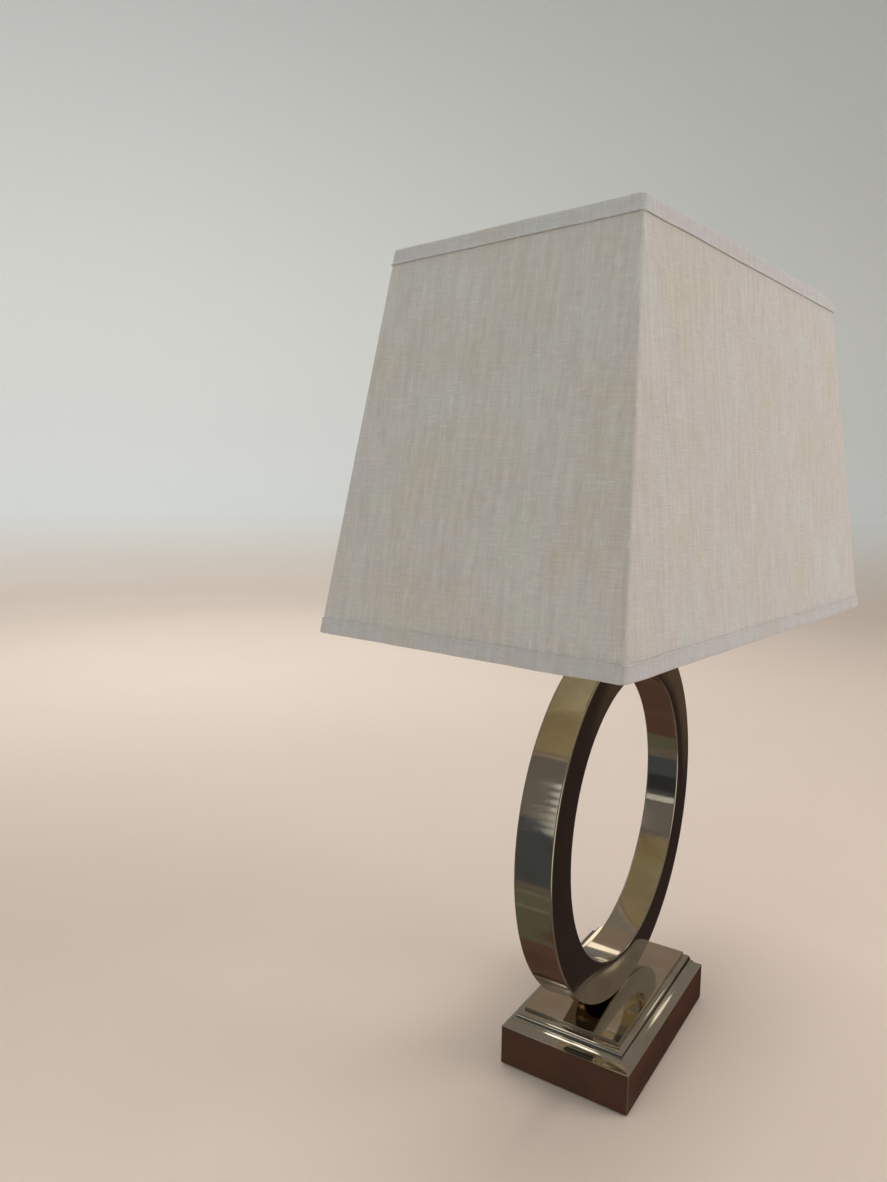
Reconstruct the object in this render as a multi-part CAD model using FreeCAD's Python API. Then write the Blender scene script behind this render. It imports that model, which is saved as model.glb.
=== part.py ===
"""Table lamp: a rectangular linen shade on a harp, over a polished nickel ring on a stepped base.

Each function makes one sub-part in millimetres, +Z up. The origin is on the table, under the
centre of the base. X runs along the base's long side and in the plane of the ring; -Y is the front.
"""
import FreeCAD, Part
import os
from math import asin, cos, pi, radians, sin, sqrt, tan

Vec = FreeCAD.Vector

# ---- driving dimensions, mm -------------------------------------------------------------------
BASE_LENGTH = 188.0          # plinth, along X
BASE_WIDTH = 111.0           # plinth, along Y
PLINTH_TOP = 33.3            # sharp top edge of the plinth
BASE_TOP = 48.4              # polished face of the top plate
TOP_PLATE_INSET = 13.9       # top plate's edge, in from the plinth's side
TOP_PLATE_THICK = 3.0
PLINTH_WALL = 2.5
PLINTH_GAP = 1.0             # rim of the plinth above the table
FELT_THICK = 2.0
COVER_THICK = 1.5
WEIGHT_THICK = 13.0

RING_OUTER = 154.5           # radius of the outer band
RING_INNER = 121.5           # radius of the hole's band
RING_DEPTH = 30.7            # ring, along Y
RING_SHEET = 1.5             # thickness of the sheets that the hollow ring is made of
RING_SEAM = 0.15             # how far the outer band lies below the faces' edges
RING_SEAT = 0.25             # how deep the ring is flatted where the base and the neck meet it

SHADE_BOTTOM = (455.0, 252.0, 371.5)   # length, width and height of the lower edge
SHADE_TOP = (354.0, 200.0, 648.0)      # the same for the upper edge
SHADE_YAW = -7.2             # the shade stands turned a little from the base, degrees
SHADE_CORNER = 4.0           # radius of the shade's corners
TRIM_HEIGHT = 11.0
TRIM_THICK = 0.7
FABRIC_THICK = 0.6
LINER_THICK = 0.5
FRAME_WIRE = 1.5             # radius of the shade's frame wires

SPIDER_Z = 632.1             # underside of the shade's washer
HARP_HEIGHT = 254.0          # 10 inch harp, from the saddle's strap to the shoulder under the washer
HARP_WIRE = 1.6              # wire radius
HARP_POST_X = 28.5           # half the span between the saddle's posts
HARP_BOW_X = 57.0            # half the harp's widest span
SADDLE_THICK = 1.5

NIPPLE_R = 5.1               # 1/8 IP threaded pipe
NIPPLE_BORE_R = 3.2
LEAD_R = 2.2
SMALL_GAP = 0.05             # between a part and the one it is screwed or pushed into

RUNNING_GAP = 0.1            # between a part that slides or turns and its guide
BULB_CAP_R = 13.0
BULB_GLASS_R = 30.0
BULB_HEIGHT = 108.0          # from the contact to the top of the glass
STUD_R = 3.175               # 1/4-27 harp stud

# ---- heights that follow from them -------------------------------------------------------------
RING_Z = BASE_TOP - RING_SEAT + RING_OUTER           # centre of the ring
RING_TOP = RING_Z + RING_OUTER - RING_SEAT           # flat under the neck
SHOULDER_Z = SPIDER_Z - RUNNING_GAP                  # harp's shoulder, which carries the washer
SADDLE_Z = SHOULDER_Z - HARP_HEIGHT                  # top of the saddle's strap
BOSS_HEIGHT = 9.0
BOSS_MOUTH = RING_OUTER - RING_SHEET - BOSS_HEIGHT   # ring radius at which the lead leaves the bosses
LEAD_RING_R = 130.0                                  # the lead's circle inside the ring
LEAD_TURN_R = 12.0                                   # its turn into each boss
INLET_Z = 12.0                                       # centre of the cord's inlet
SWITCH_Z = SADDLE_Z + 26.0                           # axis of the switch
CONTACT_Z = SADDLE_Z + 32.0                          # top of the socket's centre contact


# ---- shape helpers -----------------------------------------------------------------------------
def box(x0, x1, y0, y1, z0, z1):
    return Part.makeBox(x1 - x0, y1 - y0, z1 - z0, Vec(x0, y0, z0))


def block(length, width, z0, z1):
    """A box centred on the Z axis."""
    return box(-length / 2, length / 2, -width / 2, width / 2, z0, z1)


def post(radius, z0, z1, x=0.0, y=0.0):
    return Part.makeCylinder(radius, z1 - z0, Vec(x, y, z0))


def pipe(outer, inner, z0, z1, x=0.0, y=0.0):
    return post(outer, z0, z1, x, y).cut(post(inner, z0 - 1, z1 + 1, x, y))


def turned(profile, z=0.0):
    """A solid turned about the Z axis from (radius, height) points; three points in a tuple with
    "arc" between them make an arc."""
    edges = []
    here = profile[0]
    for step in profile[1:] + [profile[0]]:
        if step[0] == "arc":
            mid, end = step[1], step[2]
            edges.append(Part.Arc(at(here, z), at(mid, z), at(end, z)).toShape())
            here = end
        elif step != here:
            edges.append(Part.LineSegment(at(here, z), at(step, z)).toShape())
            here = step
    return Part.Face(Part.Wire(edges)).revolve(Vec(0, 0, 0), Vec(0, 0, 1), 360)


def at(point, z):
    return Vec(point[0], 0, point[1] + z)


def route(points, radii):
    """Straight runs through the points, joined by tangent arcs of the given radii."""
    corners = [Vec(*p) for p in points]
    edges = []
    here = corners[0]
    for before, corner, after, radius in zip(corners, corners[1:], corners[2:], radii):
        come = (corner - before).normalize()
        go = (after - corner).normalize()
        half_turn = come.getAngle(go) / 2
        reach = radius * tan(half_turn)
        start, end = corner - come * reach, corner + go * reach
        middle = corner + (go - come).normalize() * (radius / cos(half_turn) - radius)
        if (start - here).Length > 1e-6:
            edges.append(Part.LineSegment(here, start).toShape())
        edges.append(Part.Arc(start, middle, end).toShape())
        here = end
    if (corners[-1] - here).Length > 1e-6:
        edges.append(Part.LineSegment(here, corners[-1]).toShape())
    return Part.Wire(edges)


def rod(path, radius):
    """A round rod along a wire of straight runs and arcs."""
    first = path.OrderedEdges[0]
    start = first.valueAt(first.FirstParameter)
    along = first.tangentAt(first.FirstParameter)
    if first.Orientation == "Reversed":
        start, along = first.valueAt(first.LastParameter), first.tangentAt(first.LastParameter) * -1
    section = Part.Wire([Part.makeCircle(radius, start, along)])
    return path.makePipeShell([section], True, False)


def rounded_rectangle(length, width, radius, z):
    """A closed wire, centred on the Z axis."""
    x, y = length / 2, width / 2
    k = radius * (1 - sqrt(0.5))
    edges = []
    for sx, sy in ((1, 1), (-1, 1), (-1, -1), (1, -1)):
        side = Vec(sx * x, sy * (y - radius), z)
        end = Vec(sx * (x - radius), sy * y, z)
        bend = Part.Arc(side, Vec(sx * (x - k), sy * (y - k), z), end).toShape()
        edges.append(bend)
    edges.append(Part.makeLine(Vec(x - radius, y, z), Vec(-x + radius, y, z)))
    edges.append(Part.makeLine(Vec(-x, y - radius, z), Vec(-x, -y + radius, z)))
    edges.append(Part.makeLine(Vec(-x + radius, -y, z), Vec(x - radius, -y, z)))
    edges.append(Part.makeLine(Vec(x, -y + radius, z), Vec(x, y - radius, z)))
    return Part.Wire(Part.__sortEdges__(edges))


def group(*solids):
    """Separate solids kept as one node."""
    return Part.makeCompound(list(solids))


# ---- base --------------------------------------------------------------------------------------
BOSS_X = BASE_LENGTH / 2 - 12.0        # the four screw bosses inside the plinth
BOSS_Y = BASE_WIDTH / 2 - 12.0
COVER_TOP = FELT_THICK + COVER_THICK
WEIGHT_TOP = COVER_TOP + WEIGHT_THICK


def corner_spots():
    return [(sx * BOSS_X, sy * BOSS_Y) for sx in (-1, 1) for sy in (-1, 1)]


def base_plinth():
    """Box open below, with a boss in each corner and holes for the nipple and the cord's inlet."""
    shell = block(BASE_LENGTH, BASE_WIDTH, PLINTH_GAP, PLINTH_TOP)
    inside = block(BASE_LENGTH - 2 * PLINTH_WALL, BASE_WIDTH - 2 * PLINTH_WALL,
                   PLINTH_GAP - 1, PLINTH_TOP - PLINTH_WALL)
    shell = shell.cut(inside)
    for x, y in corner_spots():
        boss = post(5.0, WEIGHT_TOP + SMALL_GAP, PLINTH_TOP - PLINTH_WALL / 2, x, y)
        shell = shell.fuse(boss)
        shell = shell.cut(post(2.05, WEIGHT_TOP - 1, 26.0, x, y))
    shell = shell.cut(post(NIPPLE_R + SMALL_GAP, PLINTH_TOP - 5, PLINTH_TOP + 1))
    inlet = Part.makeCylinder(4.5, 2 * PLINTH_WALL + 2, Vec(0, BASE_WIDTH / 2 - 2 * PLINTH_WALL, INLET_Z),
                              Vec(0, 1, 0))
    return shell.cut(inlet).removeSplitter()


def moulding_outline(half_span, floor, hollow):
    """Half of the moulding's section about the Z axis, at a side that is half_span away."""
    def p(inset, z):
        return Vec(0, half_span - inset, z)
    roof = BASE_TOP - TOP_PLATE_THICK
    if hollow:
        outline = [p(4.5, floor - 1), p(4.5, 34.6), p(11.0, 39.0), p(17.5, 43.0), p(17.5, roof + 1)]
        sides = [Part.makeLine(a, b) for a, b in zip(outline, outline[1:])]
    else:
        sides = [
            Part.makeLine(p(0, floor), p(0.9, floor + 0.7)),
            Part.Arc(p(0.9, floor + 0.7), p(4.6, 36.2), p(7.6, 39.4)).toShape(),
            Part.makeLine(p(7.6, 39.4), p(8.6, 39.8)),
            Part.Arc(p(8.6, 39.8), p(9.5, 43.2), p(12.6, roof)).toShape(),
        ]
        outline = [p(0, floor), p(12.6, roof)]
    start, end = outline[0], outline[-1]
    top, bottom = Vec(0, 0, end.z), Vec(0, 0, start.z)
    return sides + [Part.makeLine(end, top), Part.makeLine(top, bottom), Part.makeLine(bottom, start)]


def mitred(hollow):
    """The section run along all four sides and mitred at the corners: two long prisms crossed."""
    prisms = []
    for half_span, turn in ((BASE_WIDTH / 2, 0), (BASE_LENGTH / 2, 90)):
        half = Part.Face(Part.Wire(moulding_outline(half_span, PLINTH_TOP, hollow)))
        both = half.extrude(Vec(BASE_LENGTH * 2, 0, 0))
        both.translate(Vec(-BASE_LENGTH, 0, 0))
        both = both.fuse(both.mirror(Vec(0, 0, 0), Vec(0, 1, 0)))
        both.rotate(Vec(0, 0, 0), Vec(0, 0, 1), turn)
        prisms.append(both)
    return prisms[0].common(prisms[1]).removeSplitter()


def base_moulding():
    """Stepped frame on the plinth: a hollow cove, a step and a quarter round, under the top plate."""
    return mitred(False).cut(mitred(True))


def base_top_plate():
    length, width = BASE_LENGTH - 2 * TOP_PLATE_INSET, BASE_WIDTH - 2 * TOP_PLATE_INSET
    plate = block(length, width, BASE_TOP - TOP_PLATE_THICK, BASE_TOP)
    rim = [e for e in plate.Edges if e.BoundBox.ZMin > BASE_TOP - 0.01]
    plate = plate.makeChamfer(0.4, rim)
    return plate.cut(post(NIPPLE_R + SMALL_GAP, BASE_TOP - 5, BASE_TOP + 1))


def base_weight():
    """Cast iron slab with a channel for the lead, from the middle out to the back edge."""
    side_gap = 1.5
    slab = block(BASE_LENGTH - 2 * (PLINTH_WALL + side_gap), BASE_WIDTH - 2 * (PLINTH_WALL + side_gap),
                 COVER_TOP, WEIGHT_TOP)
    channel = box(-9, 9, -14, BASE_WIDTH, INLET_Z - 4.5, WEIGHT_TOP + 1)
    slab = slab.cut(channel)
    for x, y in corner_spots():
        slab = slab.cut(post(2.4, COVER_TOP - 1, WEIGHT_TOP + 1, x, y))
    return slab


def base_bottom_cover():
    side_gap = 0.5
    plate = block(BASE_LENGTH - 2 * (PLINTH_WALL + side_gap), BASE_WIDTH - 2 * (PLINTH_WALL + side_gap),
                  FELT_THICK, COVER_TOP)
    for x, y in corner_spots():
        plate = plate.cut(Part.makeCone(4.0, 2.2, COVER_THICK, Vec(x, y, FELT_THICK)))
    return plate


def base_cover_screws():
    """Four countersunk screws through the cover and the weight, into the plinth's bosses."""
    screws = []
    for x, y in corner_spots():
        head = Part.makeCone(3.8, 2.0, COVER_THICK, Vec(x, y, FELT_THICK))
        slot = box(x - 5, x + 5, y - 0.4, y + 0.4, FELT_THICK - 1, FELT_THICK + 0.6)
        screws.append(head.fuse(post(2.0, COVER_TOP, 24.0, x, y)).cut(slot))
    return group(*screws)


def base_felt_pad():
    margin = PLINTH_WALL + 0.5
    return block(BASE_LENGTH - 2 * margin, BASE_WIDTH - 2 * margin, 0, FELT_THICK)


def cord_inlet_grommet():
    """Rubber bush in the plinth's back wall, with a lip each side of the wall."""
    wall_in, wall_out = BASE_WIDTH / 2 - PLINTH_WALL, BASE_WIDTH / 2

    def along_y(radius, y0, y1):
        return Part.makeCylinder(radius, y1 - y0, Vec(0, y0, INLET_Z), Vec(0, 1, 0))

    bush = along_y(4.4, wall_in - 0.5, wall_out + 0.5)
    bush = bush.fuse(along_y(6.4, wall_out + SMALL_GAP, wall_out + 2.0))
    bush = bush.fuse(along_y(6.0, wall_in - 1.5, wall_in - SMALL_GAP))
    return bush.cut(along_y(2.6, wall_in - 3, wall_out + 4)).removeSplitter()


def hexagon(across, z0, z1, bore):
    corner = across / sqrt(3)
    outline = [Vec(corner * cos(k * pi / 3), corner * sin(k * pi / 3), z0) for k in range(7)]
    nut = Part.Face(Part.makePolygon(outline)).extrude(Vec(0, 0, z1 - z0))
    return nut.cut(post(bore, z0 - 1, z1 + 1))


NUT_TOP = PLINTH_TOP - PLINTH_WALL - 1.2


def base_nipple():
    """Threaded pipe from the lock nut, through the base's top, into the ring's lower boss."""
    return pipe(NIPPLE_R, NIPPLE_BORE_R, NUT_TOP - 5.0, RING_Z - BOSS_MOUTH)


def base_lock_washer():
    return pipe(9.0, NIPPLE_R + SMALL_GAP, NUT_TOP, NUT_TOP + 1.2)


def base_lock_nut():
    return hexagon(15.0, NUT_TOP - 4.0, NUT_TOP, NIPPLE_R + SMALL_GAP)


# ---- ring --------------------------------------------------------------------------------------
def disc(radius, y0, y1):
    """A disc on the ring's axis, which runs along Y."""
    return Part.makeCylinder(radius, y1 - y0, Vec(0, y0, RING_Z), Vec(0, 1, 0))


def flatted(shape):
    """Cuts the flats under the ring and on top of it, and the holes for the two nipples."""
    reach = RING_OUTER + 5
    shape = shape.cut(box(-60, 60, -40, 40, RING_TOP, RING_Z + reach))
    shape = shape.cut(box(-60, 60, -40, 40, RING_Z - reach, BASE_TOP))
    shape = shape.cut(post(NIPPLE_R + SMALL_GAP, RING_TOP - 5, RING_TOP + 5))
    return shape.cut(post(NIPPLE_R + SMALL_GAP, BASE_TOP - 5, BASE_TOP + 5))


def ring_outer_band():
    inside = RING_DEPTH / 2 - RING_SHEET
    band = disc(RING_OUTER - RING_SEAM, -inside, inside).cut(disc(RING_OUTER - RING_SHEET, -40, 40))
    return flatted(band)


def ring_inner_band():
    inside = RING_DEPTH / 2 - RING_SHEET
    return disc(RING_INNER + RING_SHEET, -inside, inside).cut(disc(RING_INNER, -40, 40))


def ring_face(side):
    """A flat annulus with its two outer edges eased."""
    y0, y1 = sorted((side * (RING_DEPTH / 2 - RING_SHEET), side * RING_DEPTH / 2))
    plate = disc(RING_OUTER, y0, y1).cut(disc(RING_INNER, y0 - 1, y1 + 1))
    outside = [e for e in plate.Edges
               if abs(e.BoundBox.YMin - side * RING_DEPTH / 2) < 0.01 and e.BoundBox.XLength > 1
               and e.BoundBox.YLength < 0.01]
    plate = plate.makeFillet(0.7, outside)
    reach = RING_OUTER + 5
    plate = plate.cut(box(-60, 60, -40, 40, RING_TOP, RING_Z + reach))
    return plate.cut(box(-60, 60, -40, 40, RING_Z - reach, BASE_TOP))


def ring_front_face():
    return ring_face(-1)


def ring_back_face():
    return ring_face(1)


def ring_boss(up):
    """Threaded boss brazed inside the outer band; the nipple screws into it."""
    mouth, crown = RING_Z + up * BOSS_MOUTH, RING_Z + up * (RING_OUTER + 2)
    boss = post(9.0, min(mouth, crown), max(mouth, crown))
    boss = boss.common(disc(RING_OUTER - RING_SHEET - SMALL_GAP, -20, 20))
    return boss.cut(post(NIPPLE_R + SMALL_GAP, RING_Z - RING_OUTER - 5, RING_Z + RING_OUTER + 5))


def ring_lower_boss():
    return ring_boss(-1)


def ring_upper_boss():
    return ring_boss(1)


def internal_lead():
    """The lead inside the lamp: in from the inlet, up the base's nipple, round inside the ring's
    right half, and up the neck's nipple to the socket."""
    inlet = route([(0, BASE_WIDTH / 2 - 5.5, INLET_Z), (0, 0, INLET_Z), (0, 0, 40)], [LEAD_TURN_R])
    turn_z = sqrt((LEAD_RING_R + LEAD_TURN_R) ** 2 - LEAD_TURN_R ** 2)
    share = LEAD_RING_R / (LEAD_RING_R + LEAD_TURN_R)
    meet = Vec(LEAD_TURN_R * share, 0, turn_z * share)
    middle_turn = asin(LEAD_TURN_R / (LEAD_RING_R + LEAD_TURN_R))
    bend = pi / 2 - middle_turn
    mid = Vec(LEAD_TURN_R * (1 - cos(bend / 2)), 0, turn_z - LEAD_TURN_R * sin(bend / 2))

    def spot(v, up):
        return Vec(v.x, 0, RING_Z + up * v.z)

    lower_start, upper_end = Vec(0, 0, RING_Z - turn_z), Vec(0, 0, RING_Z + turn_z)
    edges = list(inlet.Edges)[:-1]
    edges.append(Part.LineSegment(Vec(0, 0, INLET_Z + LEAD_TURN_R), lower_start).toShape())
    edges.append(Part.Arc(lower_start, spot(mid, -1), spot(meet, -1)).toShape())
    edges.append(Part.Arc(spot(meet, -1), Vec(LEAD_RING_R, 0, RING_Z), spot(meet, 1)).toShape())
    edges.append(Part.Arc(spot(meet, 1), spot(mid, 1), upper_end).toShape())
    edges.append(Part.LineSegment(upper_end, Vec(0, 0, SADDLE_Z + 12.0)).toShape())
    path = Part.Wire(edges)
    lead = rod(path, LEAD_R)
    print("internal lead: length %.1f mm, turns of %.0f and %.0f mm radius, volume ratio %.4f"
          % (path.Length, LEAD_TURN_R, LEAD_RING_R, lead.Volume / (path.Length * pi * LEAD_R ** 2)))
    return lead


# ---- neck, harp and socket -----------------------------------------------------------------------
def neck():
    """Turned collar between the ring and the harp's saddle."""
    z0, z1 = RING_TOP, SADDLE_Z - SADDLE_THICK
    profile = [
        (NIPPLE_R + SMALL_GAP, z0), (11.0, z0), (11.0, z0 + 1.5),
        ("arc", (9.4, z0 + 2.4), (8.4, z0 + 4.5)),
        ("arc", (7.8, (z0 + z1) / 2), (8.4, z1 - 4.5)),
        ("arc", (9.4, z1 - 2.4), (10.5, z1 - 1.5)),
        (10.5, z1), (NIPPLE_R + SMALL_GAP, z1),
    ]
    return turned(profile)


def neck_nipple():
    """Threaded pipe from the ring's upper boss, through the neck and the saddle, to the socket cap."""
    return pipe(NIPPLE_R, NIPPLE_BORE_R, RING_Z + BOSS_MOUTH, SADDLE_Z + 8.0)


def harp_saddle():
    """Strap under the socket, with an upright post at each end."""
    strap = block(2 * HARP_POST_X + 8, 12.0, SADDLE_Z - SADDLE_THICK, SADDLE_Z)
    strap = strap.makeFillet(4.0, [e for e in strap.Edges if e.BoundBox.ZLength > 1])
    strap = strap.cut(post(NIPPLE_R + SMALL_GAP, SADDLE_Z - 5, SADDLE_Z + 5))
    for side in (-1, 1):
        strap = strap.fuse(post(HARP_WIRE, SADDLE_Z - 0.5, SADDLE_Z + 8.0, side * HARP_POST_X))
    return strap


HARP_CROWN = SHOULDER_Z - 4.0           # the wire's centreline at the top of the harp


def harp_wire():
    """Bowed wire, from one post up over the bulb and down to the other."""
    half = [(HARP_POST_X, SADDLE_Z + 8.2), (HARP_POST_X, SADDLE_Z + 46.0),
            (HARP_BOW_X, SADDLE_Z + 102.0), (HARP_BOW_X, HARP_CROWN)]
    points = [(x, 0, z) for x, z in half] + [(-x, 0, z) for x, z in reversed(half)]
    return rod(route(points, [70.0, 110.0, 44.0, 44.0, 110.0, 70.0]), HARP_WIRE)


def harp_stud():
    """Boss on the crown of the harp: a round shoulder for the washer and a threaded stud above it."""
    boss = turned([(0, SHOULDER_Z - 7.0), (6.0, SHOULDER_Z - 7.0), (7.0, SHOULDER_Z - 6.0),
                   (7.0, SHOULDER_Z - 0.8), (6.2, SHOULDER_Z), (STUD_R, SHOULDER_Z),
                   (STUD_R, SHOULDER_Z + 12.5), (STUD_R - 0.8, SHOULDER_Z + 13.3), (0, SHOULDER_Z + 13.3)])
    hole = Part.makeCylinder(HARP_WIRE + SMALL_GAP, 40, Vec(-20, 0, HARP_CROWN), Vec(1, 0, 0))
    return boss.cut(hole)


FERRULE_FOOT = SADDLE_Z + 0.3
FERRULE_HEIGHT = 14.0


def harp_ferrule(side):
    """Sleeve that slides down over the joint of a post and the harp's leg."""
    z0, z1 = FERRULE_FOOT, FERRULE_FOOT + FERRULE_HEIGHT
    bore = HARP_WIRE + RUNNING_GAP
    sleeve = turned([(bore, z0), (3.4, z0), (3.4, z0 + 1.6), (2.9, z0 + 2.1), (2.9, z1 - 0.4),
                     (2.5, z1), (bore, z1)])
    sleeve.translate(Vec(side * HARP_POST_X, 0, 0))
    return sleeve


def harp_ferrule_left():
    return harp_ferrule(-1)


def harp_ferrule_right():
    return harp_ferrule(1)


SHELL_FOOT = SADDLE_Z + 17.0             # where the socket's shell stands in its cap
SHELL_TOP = SADDLE_Z + 62.0


def socket_cap():
    """Domed cap, screwed on the neck's nipple by its collar."""
    inner, outer = NIPPLE_R + SMALL_GAP, 8.0
    z = SADDLE_Z
    return turned([
        (inner, z), (outer, z), (outer, z + 6.5), ("arc", (14.2, z + 9.0), (17.2, z + 15.0)),
        (17.2, z + 21.0), (16.4, z + 21.0), (16.4, z + 15.4), ("arc", (13.6, z + 10.0), (9.0, z + 8.0)),
        (inner, z + 8.0),
    ])


def switch_hole(radius):
    return Part.makeCylinder(radius, 40, Vec(0, -40, SWITCH_Z), Vec(0, 1, 0))


def socket_shell():
    """Thin metal sleeve with a rolled lip, pushed into the cap; the switch's stem passes its side."""
    shell = turned([(15.7, SHELL_FOOT), (16.3, SHELL_FOOT), (16.3, SHELL_TOP - 2.4),
                    ("arc", (17.3, SHELL_TOP - 1.2), (16.3, SHELL_TOP)), (15.7, SHELL_TOP)])
    return shell.cut(switch_hole(3.0))


def socket_liner():
    """Insulating card sleeve inside the shell."""
    return pipe(15.6, 15.1, SHELL_FOOT, SHELL_TOP + 1.0).cut(switch_hole(3.0))


def socket_body():
    """Moulded block that holds the contacts and the switch."""
    block_top = CONTACT_Z - 4.0
    body = post(14.8, SADDLE_Z + 13.5, block_top)
    body = body.cut(Part.makeCylinder(2.6, 13.0, Vec(0, -15.0, SWITCH_Z), Vec(0, 1, 0)))
    for side in (-1, 1):
        notch = box(-3.6, 3.6, side * 11.0 - 4, side * 11.0 + 4, SADDLE_Z + 13, SADDLE_Z + 16.5)
        notch.rotate(Vec(0, 0, 0), Vec(0, 0, 1), 90)
        body = body.cut(notch)
    return body


def terminal_screws():
    """Two binding screws for the lead's ends, under the moulded block."""
    screws = []
    for side in (-1, 1):
        head = post(2.9, SADDLE_Z + 14.0, SADDLE_Z + 16.4, side * 11.0)
        slot = box(side * 11.0 - 4, side * 11.0 + 4, -0.4, 0.4, SADDLE_Z + 13, SADDLE_Z + 14.8)
        screws.append(head.cut(slot))
    return group(*screws)


def socket_screw_shell():
    """Plain-walled stand for the threaded shell that the bulb's cap screws into."""
    return turned([(4.5, CONTACT_Z - 3.9), (13.8, CONTACT_Z - 3.9), (13.8, SHELL_TOP - 3.0),
                   (14.4, SHELL_TOP - 3.0), (14.4, SHELL_TOP - 2.4), (13.4, SHELL_TOP - 2.4),
                   (13.4, CONTACT_Z - 3.4), (4.5, CONTACT_Z - 3.4)])


def socket_contact():
    """Springy centre contact, a short bent tongue."""
    tongue = box(-3.4, 1.5, -2, 2, CONTACT_Z - 0.9, CONTACT_Z - 0.3)
    return tongue.fuse(box(-3.4, -2.8, -2, 2, CONTACT_Z - 3.95, CONTACT_Z - 0.3)).removeSplitter()


def switch_stem():
    """Brass stem of the turn switch, from inside the moulded block out to the knob."""
    return Part.makeCylinder(2.0, 17.5, Vec(0, -22.0, SWITCH_Z), Vec(0, 1, 0)).cut(
        Part.makeCylinder(0.6, 1.0, Vec(0, -4.6, SWITCH_Z), Vec(0, 1, 0)))


def switch_knob():
    """Fluted knob pushed on the stem."""
    tip, foot = -38.0, -20.0
    knob = Part.makeCylinder(6.0, foot - tip, Vec(0, tip, SWITCH_Z), Vec(0, 1, 0))
    knob = knob.makeFillet(1.2, [e for e in knob.Edges if e.BoundBox.YLength < 0.01])
    flutes = 12
    for k in range(flutes):
        turn = 2 * pi * k / flutes
        centre = Vec(6.9 * cos(turn), tip - 1, SWITCH_Z + 6.9 * sin(turn))
        knob = knob.cut(Part.makeCylinder(1.4, foot - tip - 4.0, centre, Vec(0, 1, 0)))
    return knob.cut(Part.makeCylinder(2.0 + SMALL_GAP, 10.0, Vec(0, -22.2, SWITCH_Z), Vec(0, 1, 0)))


# ---- bulb --------------------------------------------------------------------------------------
def bulb_contact():
    """Solder button at the foot of the bulb: a shallow cap of a sphere."""
    z, rim_r, rise = CONTACT_Z, 4.2, 1.6
    sphere_r = (rim_r ** 2 + rise ** 2) / (2 * rise)
    mid_r = rim_r / 2
    mid_z = z + sphere_r - sqrt(sphere_r ** 2 - mid_r ** 2)
    return turned([(0, z), ("arc", (mid_r, mid_z), (rim_r, z + rise)), (0, z + rise)])


def bulb_insulator():
    """Black glass between the button and the cap."""
    z = CONTACT_Z + 1.6
    return turned([(0, z), (4.2, z), ("arc", (8.4, z + 2.0), (10.6, z + 4.6)), (0, z + 4.6)])


CAP_FOOT = CONTACT_Z + 6.2


def bulb_cap():
    """Screw cap, a closed can with the thread's rounds rolled into its wall."""
    wall = [(10.6, CAP_FOOT)]
    pitch, crest = 3.6, BULB_CAP_R
    root = crest - 0.9
    z = CAP_FOOT + 1.2
    wall.append((root, z))
    for _ in range(4):
        wall.append(("arc", (crest, z + pitch / 2), (root, z + pitch)))
        z += pitch
    wall += [(root, z + 3.5), (0, z + 3.5), (0, CAP_FOOT)]
    return turned(wall)


CAP_TOP = CAP_FOOT + 1.2 + 4 * 3.6 + 3.5
BULB_TOP = CONTACT_Z + BULB_HEIGHT


def bulb_profile(inset):
    """The glass's outline from the cap up to the crown, drawn in by inset."""
    globe_z = BULB_TOP - BULB_GLASS_R
    foot = 12.6 - inset
    shoulder_r, shoulder_z = 20.0, globe_z - sqrt(BULB_GLASS_R ** 2 - 20.0 ** 2)
    scale = (BULB_GLASS_R - inset) / BULB_GLASS_R
    return [
        (foot, CAP_TOP),
        ("arc", (15.4 - inset, (CAP_TOP + shoulder_z) / 2 - 2.0), (shoulder_r * scale,
                                                                globe_z - (globe_z - shoulder_z) * scale)),
        ("arc", (BULB_GLASS_R - inset, globe_z), (0, BULB_TOP - inset)),
    ]


def bulb_glass():
    outer = bulb_profile(0.0)
    shell = turned(outer + [(0, CAP_TOP)])
    hollow = turned([(11.6, CAP_TOP)] + bulb_profile(1.0)[1:] + [(0, CAP_TOP)])
    return shell.cut(hollow)


def bulb_stem():
    """Glass pinch on the cap that carries the filament's legs."""
    return turned([(0, CAP_TOP + 0.1), (8.0, CAP_TOP + 0.1), ("arc", (4.6, CAP_TOP + 6.0), (3.0, CAP_TOP + 24.0)),
                   (0, CAP_TOP + 24.0)])


def bulb_filament():
    """Two legs and the filament across them, as one bent wire."""
    foot, top = CAP_TOP + 24.1, BULB_TOP - BULB_GLASS_R + 4.0
    points = [(-2.0, 0, foot), (-9.0, 0, top), (9.0, 0, top), (2.0, 0, foot)]
    return rod(route(points, [1.5, 1.5]), 0.5)


# ---- shade -------------------------------------------------------------------------------------
def shade_size(z, inset):
    """Length and width of the shade at height z, measured inset inside its outer face."""
    share = (z - SHADE_BOTTOM[2]) / (SHADE_TOP[2] - SHADE_BOTTOM[2])
    return [b + (t - b) * share - 2 * inset for b, t in zip(SHADE_BOTTOM[:2], SHADE_TOP[:2])]


def shade_block(z0, z1, inset):
    """Solid tapered block of the shade's shape between two heights."""
    radius = max(SHADE_CORNER - inset, 0.4)
    wires = [rounded_rectangle(*shade_size(z, inset), radius, z) for z in (z0, z1)]
    return Part.makeLoft(wires, True, True)


def shade_wall(z0, z1, outside, inside):
    """Tapered tube between two insets."""
    return shade_block(z0, z1, outside).cut(shade_block(z0 - 1, z1 + 1, inside))


def yawed(shape):
    shape.rotate(Vec(0, 0, 0), Vec(0, 0, 1), SHADE_YAW)
    return shape


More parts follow.
